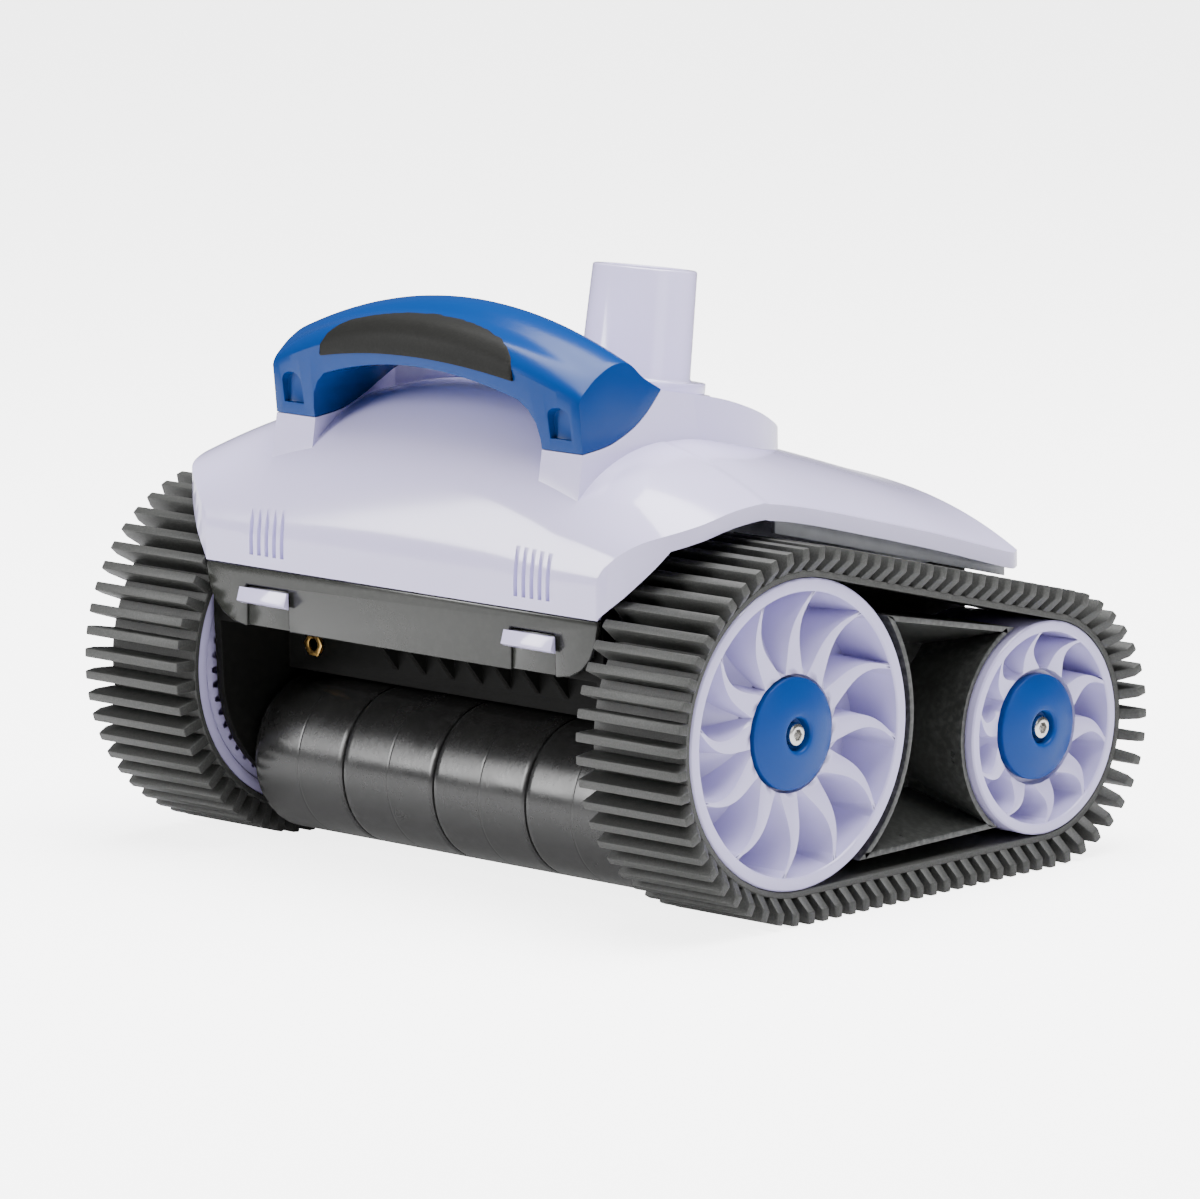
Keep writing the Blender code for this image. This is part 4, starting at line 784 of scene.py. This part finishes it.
for name, profile, operation in (("boss", boss_profile, "UNION"), ("seat", seat_profile, "DIFFERENCE"),
                                 ("bore", bore_profile, "DIFFERENCE")):
    boolean(cover, turned(name, profile, SPIGOT_FOOT, 96, SPIGOT_AXIS, ring=False), operation)
clear_selection()
cover.select_set(True)
bpy.context.view_layer.objects.active = cover
bpy.ops.object.shade_smooth_by_angle(angle=math.radians(32))
finish_piece(cover, WHITE, "chassis", "white_plastic", "top_cover")
print("cover:", done[-1])

# %% [markdown]
# ## Front panel, latches, casing and walls
# These are flat or plainly curved mouldings, so their solids already have the right shape.
# Each is copied, merged and given small rounded edges that catch the light.

# %% Panel, latches, casing, side walls
finish_piece(refined("front_panel", "panel_black", 0.0006), BLACK, "chassis", "black_plastic", "front_panel")
# the casing takes the darker black as painted shade under the panel
finish_piece(refined("lower_body", "casing_black", 0.0005), BAY_BLACK_PAINTED_SHADE, "chassis", "black_plastic",
             "lower_body")
TAB_BOTTOM_Z = 0.0964
for side in ("left", "right"):
    latch_node, wall_node = "cover_latch_" + side, "side_wall_" + side
    latch = finish_piece(refined(latch_node, "latch_" + side, 0.0004), WHITE, latch_node,
                         "white_plastic", latch_node)
    # the leg below the finger tab is moulded in black
    latch.data.materials.append(BLACK)
    for face in latch.data.polygons:
        face.material_index = int(face.center.z < TAB_BOTTOM_Z or face.center.y > FRONT_Y + 0.0005)
    finish_piece(refined(wall_node, "grey_wall_" + side, 0.0004), GREY, "chassis", "grey_plastic",
                 wall_node)

# %% [markdown]
# A light grey skirt hangs under each mudguard and follows the top run of the belt with a little
# air between them. Its lower edge is the line that touches both wheels' circles at the tooth tips.

# %% Mudguard skirts
SKIRT_X, SKIRT_THICK, SKIRT_GAP = 0.1190, 0.0020, 0.0016
SKIRT_FRONT, SKIRT_REAR, SKIRT_STEPS = -0.0400, REAR_Y - 0.0012, 24
# the rear tooth tips reach the floor, so their radius is the axle's height
TIP_REAR = REAR_AXLE[1]
fall = SLOPE + math.atan2(FRONT_AXLE[1] - REAR_AXLE[1], AXLE_SPACING)


def above_teeth(y):
    """Height just over the tooth tips at a place along the top run."""
    past, reach = y - REAR_AXLE[0], TIP_REAR + SKIRT_GAP
    if past < TIP_REAR * math.sin(fall):
        return REAR_AXLE[1] + reach / math.cos(fall) - past * math.tan(fall)
    return REAR_AXLE[1] + math.sqrt(reach ** 2 - past ** 2)


stations = [SKIRT_FRONT + (SKIRT_REAR - SKIRT_FRONT) * i / SKIRT_STEPS for i in range(SKIRT_STEPS + 1)]
under_side = [(y, above_teeth(y)) for y in stations]
upper_side = [(y, max(above_teeth(y) + 0.0008, smooth_between(y, RIM_LINE) - 0.0042))
              for y in reversed(stations)]
skirt = drawn_out("skirt", under_side + upper_side, SKIRT_X, SKIRT_THICK, (1, 0, 0))
soften(skirt, 0.0003)
twin = copied(skirt, "mudguard_skirt_right", MIRROR)
skirt.name = skirt.data.name = "mudguard_skirt_left"
for piece in (skirt, twin):
    finish_piece(piece, GREY, "chassis", "grey_plastic")
print("skirts:", done[-1][1], "triangles a side")

# %% [markdown]
# The casing's back wall carries on up to the cover as a curved black panel, so that the machine
# is closed at the rear. Its upper edge follows the underside of the cover.

# %% Rear panel
PANEL_HALF, PANEL_Y, PANEL_FOOT, PANEL_STEPS, COVER_WALL = 0.0968, 0.0810, 0.1078, 20, 0.0030
places = [PANEL_HALF * i / PANEL_STEPS for i in range(PANEL_STEPS, -PANEL_STEPS - 1, -1)]
upper_edge = [(x, cover_height(x, PANEL_Y) - COVER_WALL + 0.0006) for x in places]
lower_edge = [(-PANEL_HALF, PANEL_FOOT), (PANEL_HALF, PANEL_FOOT)]
rear_panel = drawn_out("rear_panel", lower_edge + upper_edge, PANEL_Y, 0.0020, (0, 1, 0))
soften(rear_panel, 0.0003)
finish_piece(rear_panel, BLACK, "chassis", "black_plastic")
print("rear panel:", done[-1][1], "triangles")

# %% [markdown]
# ## Carry handle
# The handle is a broad arch: every slice across it has the same kind of outline, only higher in
# the middle. A grid is laid over the slices by a formula, then its ends are filled, and the hand
# gap and the pockets in its legs are cut.

# %% Handle surface
def handle_slice(x):
    """Upper outline of the handle at x, front bottom to rear bottom."""
    arch = 1 - (x / POST_OUTER) ** 2
    front = -0.1030 + 0.0065 * (x / POST_OUTER) ** 2
    rise, crease = 0.0166 * arch, 0.1865 + 0.0172 * arch
    return [(front, crease - 0.0020), (front + 0.0012, crease + 0.0005), (front + 0.0055, crease + 0.0043),
            (-0.0880, 0.1930 + rise), (-0.0815, 0.1962 + rise), (-0.0750, 0.1974 + rise),
            (-0.0700, 0.1962 + rise), (-0.0640, 0.1912 + rise), (-0.0600, 0.1885 + rise),
            (-0.0545, 0.1856 + rise * 0.9)]


def rounded_path(points, count):
    """A smooth run of count + 1 points along a line."""
    distance = [0.0]
    for a, b in zip(points, points[1:]):
        distance.append(distance[-1] + math.dist(a, b))
    ys = [(d, p[0]) for d, p in zip(distance, points)]
    zs = [(d, p[1]) for d, p in zip(distance, points)]
    marks = [distance[-1] * i / count for i in range(count + 1)]
    return [(smooth_between(mark, ys), smooth_between(mark, zs)) for mark in marks]


ACROSS, OVER, UNDER = 48, 30, 16
clear_selection()
ROUND = OVER + UNDER + 2
bpy.ops.mesh.primitive_grid_add(x_subdivisions=ACROSS, y_subdivisions=ROUND, size=2)
handle = bpy.context.object
handle.name = handle.data.name = "handle"
slices = {}
for vertex in handle.data.vertices:
    column = round((vertex.co.x + 1) / 2 * ACROSS)
    row = round((vertex.co.y + 1) / 2 * ROUND) % ROUND
    x = POST_OUTER * (-1 + 2 * column / ACROSS)
    if column not in slices:
        under = [(y, z + 0.0003) for y, z in reversed(SEAM_CURVE)]
        slices[column] = rounded_path(handle_slice(x), OVER) + rounded_path(under, UNDER)
    y, z = slices[column][row]
    vertex.co = (x, y, z)
print("slice points:", len(slices[0]))

# %% Ends, hand gap and pockets
def fill_ends(obj, half_length):
    """Merge a rolled grid into a tube and fill its end at each side."""
    clear_selection()
    obj.select_set(True)
    bpy.context.view_layer.objects.active = obj
    bpy.ops.object.mode_set(mode="EDIT")
    bpy.ops.mesh.select_all(action="SELECT")
    bpy.ops.mesh.remove_doubles(threshold=0.000005)
    for end in (-half_length, half_length):
        bpy.ops.mesh.select_all(action="DESELECT")
        bpy.ops.object.mode_set(mode="OBJECT")
        for vertex in obj.data.vertices:
            vertex.select = abs(vertex.co.x - end) < 0.00001
        bpy.ops.object.mode_set(mode="EDIT")
        bpy.ops.mesh.edge_face_add()
    close_up()


fill_ends(handle, POST_OUTER)
arch_line = [(x, 0.1915 - 0.0075 * (x / 0.050) ** 2) for x in [-0.050 + 0.005 * i for i in range(21)]]
corner = [(0.0543, 0.1805), (0.0572, 0.1760), (0.0584, 0.1700), (0.0584, 0.1500)]
gap = drawn_out("gap", [(-x, z) for x, z in reversed(corner)] + arch_line + corner, -0.13, 0.16, (0, 1, 0))
boolean(handle, gap, "DIFFERENCE")


def pocket(side):
    """A rounded arch for the recess in the front of each leg."""
    low, high, inner, outer = 0.1706, 0.1868, 0.0606, 0.0765
    turns = [math.radians(a) for a in range(0, 181, 20)]
    top = [(inner + (outer - inner) * (0.5 - 0.5 * math.cos(a)), high - 0.0040 + 0.0052 * math.sin(a))
           for a in turns]
    return [(side * x, z) for x, z in [(inner, low)] + top + [(outer, low)]]


POCKET_FLOOR_Y, POCKET_X, POCKET_Z, POCKET_TAPER = -0.0935, 0.0690, 0.1772, 0.62
for side in (1, -1):
    recess = drawn_out("recess", pocket(side), -0.12, 0.12 + POCKET_FLOOR_Y, (0, 1, 0))
    for vertex in recess.data.vertices:
        if vertex.co.y > -0.1:
            middle_x = side * POCKET_X
            vertex.co.x = middle_x + (vertex.co.x - middle_x) * POCKET_TAPER
            vertex.co.z = POCKET_Z + (vertex.co.z - POCKET_Z) * POCKET_TAPER - 0.0020
    boolean(handle, recess, "DIFFERENCE")
print("handle faces:", len(handle.data.polygons))

# %% [markdown]
# The grip is a lens of soft rubber let into the front edge of the bar, with a crease along it.
# It is laid out like the handle, slice by slice, and stands a hair proud of the blue plastic.

# %% Grip
GRIP_HALF, STATIONS, TO_THE_END = 0.0493, 48, 0.9999


def grip_slice(share, lift):
    """Outline of the grip at a share of its half length, standing proud by lift."""
    x = share * GRIP_HALF
    upper = rounded_path(handle_slice(x), 60)
    lens_width = 0.0152 * (1 - abs(share) ** 2.2) ** 0.8
    low_z = 0.1955 - 0.0046 * share ** 2
    crease_y = upper[0][0]
    top = [p for p in upper if p[0] <= crease_y + lens_width + 0.0006] or upper[:2]
    picked = rounded_path(top, 10) if len(top) > 2 else [upper[0]] * 11
    face = [(crease_y - lift, low_z), (crease_y - lift, (low_z + picked[0][1]) / 2)]
    skin = [(y - lift * 0.6, z + lift * 0.6) for y, z in picked]
    skin[-1] = (picked[-1][0] - 0.0002, picked[-1][1] - 0.0006)
    root_y = crease_y + 0.0030
    inner = [(picked[-1][0] - 0.0006, picked[-1][1] - 0.0034), (root_y, low_z + 0.0020), (root_y, low_z)]
    return x, face + skin + inner


def grip_block(name, lift):
    """The grip as a grid rolled round its slices, filled at both ends."""
    count = len(grip_slice(0.0, lift)[1])
    clear_selection()
    bpy.ops.mesh.primitive_grid_add(x_subdivisions=STATIONS, y_subdivisions=count, size=2)
    block = bpy.context.object
    block.name = block.data.name = name
    for vertex in block.data.vertices:
        share = round((vertex.co.x + 1) / 2 * STATIONS) / STATIONS * 2 - 1
        row = round((vertex.co.y + 1) / 2 * count) % count
        x, ring = grip_slice(share * TO_THE_END, lift)
        vertex.co = (x, *ring[row])
    fill_ends(block, GRIP_HALF * TO_THE_END)
    return block


grip = grip_block("grip", 0.0003)
soften(grip, 0.0004, 2, 40)
finish_piece(grip, GRIP, "chassis", "grip_rubber", "handle_grip")
soften(handle, 0.0009, 3, 32)
finish_piece(handle, BLUE, "chassis", "blue_plastic", "handle_frame")
print("grip and handle:", done[-2:])

# %% [markdown]
# ## Hose connector
# A tapered tube with a flange, spun about its own leaning axis.

# %% Hose connector
FLANGE_R, NECK_R, GROOVE_R, HOSE_BORE = 0.0265, 0.0215, 0.0203, 0.0165
tube_profile = [(0.0195, 0.0405), (0.0206, 0.0012), (0.0212, 0.0), (FLANGE_R, 0.0), (FLANGE_R, -0.0040),
                (NECK_R, -0.0040), (NECK_R, -0.0206), (GROOVE_R, -0.0206), (GROOVE_R, -0.0250),
                (NECK_R, -0.0250), (NECK_R, -0.0270), (HOSE_BORE, -0.0270), (HOSE_BORE, 0.0405),
                (0.0170, 0.0412), (0.0190, 0.0412)]
tube = turned("hose_tube", tube_profile, SPIGOT_FOOT, 120, SPIGOT_AXIS)
soften(tube, 0.0004, 2, 35)
finish_piece(tube, WHITE, "hose_swivel", "white_plastic", "hose_connector")

# %% [markdown]
# ## Roller
# Four rubber sleeves on one core, each with rounded ends and a faint parting line round it.

# %% Roller sleeves
ROLLER_R, ROLLER_AXLE, SLEEVE, SLEEVE_GAP, CORE_R = 0.0294, (-0.0658, 0.0341), 0.0470, 0.0003, 0.0203
SLEEVE_COUNT, half = 4, SLEEVE / 2
rounded_end = [(ROLLER_R - 0.0011, half), (ROLLER_R - 0.0003, half - 0.0004), (ROLLER_R, half - 0.0014),
               (ROLLER_R, half - 0.0026), (ROLLER_R, 0.0008), (ROLLER_R, 0.0003)]
other_end = [(r, -h) for r, h in reversed(rounded_end)]
rows = rounded_end + [(ROLLER_R - 0.0001, 0.0)] + other_end + [(CORE_R, -half), (CORE_R, half)]
for index in range(SLEEVE_COUNT):
    middle = (index - (SLEEVE_COUNT - 1) / 2) * (SLEEVE + SLEEVE_GAP)
    sleeve = turned("sleeve_%d" % (index + 1), rows, (middle, *ROLLER_AXLE), 96)
    bpy.ops.object.shade_smooth_by_angle(angle=math.radians(40))
    finish_piece(sleeve, ROLLER, "front_roller", "roller_rubber", "roller_sleeve_%d" % (index + 1))
print("sleeves:", done[-1])

# %% [markdown]
# ## Brass inserts
# Each is a hexagon with a threaded hole, pressed into the back of the roller bay.

# %% Brass inserts
INSERT_SPOT = (0.0830, 0.0760)
insert = drawn_out("insert", arc(INSERT_SPOT, 0.0050, 7, 0, 360)[:-1], -0.0749, 0.0012, (0, 1, 0))
shank = drawn_out("shank", arc(INSERT_SPOT, 0.0041, 25, 0, 360)[:-1], -0.0740, 0.0030, (0, 1, 0))
boolean(insert, shank, "UNION")
hole = drawn_out("hole", arc(INSERT_SPOT, 0.0023, 25, 0, 360)[:-1], -0.0780, 0.0200, (0, 1, 0))
boolean(insert, hole, "DIFFERENCE")
soften(insert, 0.0003, 2)
both_sides(insert, "insert_*", BRASS, "chassis", "brass", "brass_insert_*")

# %% [markdown]
# ## Finishes for the solids that stay
# Ring gears, bushes, shafts, the turbine and the rest keep their solids and take a finish that
# suits what each is made of.

# %% Carried-over solids
# the ring gears take the wheels' darker white, which is painted shade
KEPT = {"ring_gear": WHEEL_WHITE_PAINTED_SHADE, "axle": STEEL, "shaft": STEEL, "bush": ACETAL, "bearing": ACETAL,
        "gear": ACETAL, "pinion": ACETAL, "rotor": ACETAL, "retainer": ACETAL,
        "housing": GREY, "roller_core": BLACK}
carried = 0
for name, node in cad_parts.items():
    if node.hide_render:
        continue
    key = next(k for k in KEPT if k in name)
    node.data.materials.clear()
    node.data.materials.append(KEPT[key])
    carried += 1
print("carried over:", carried)

# %% [markdown]
# ## Last step
# The triangles of all the finished pieces are counted and printed.

# %% Triangle count
print("triangles:", sum(count for _, count in done))
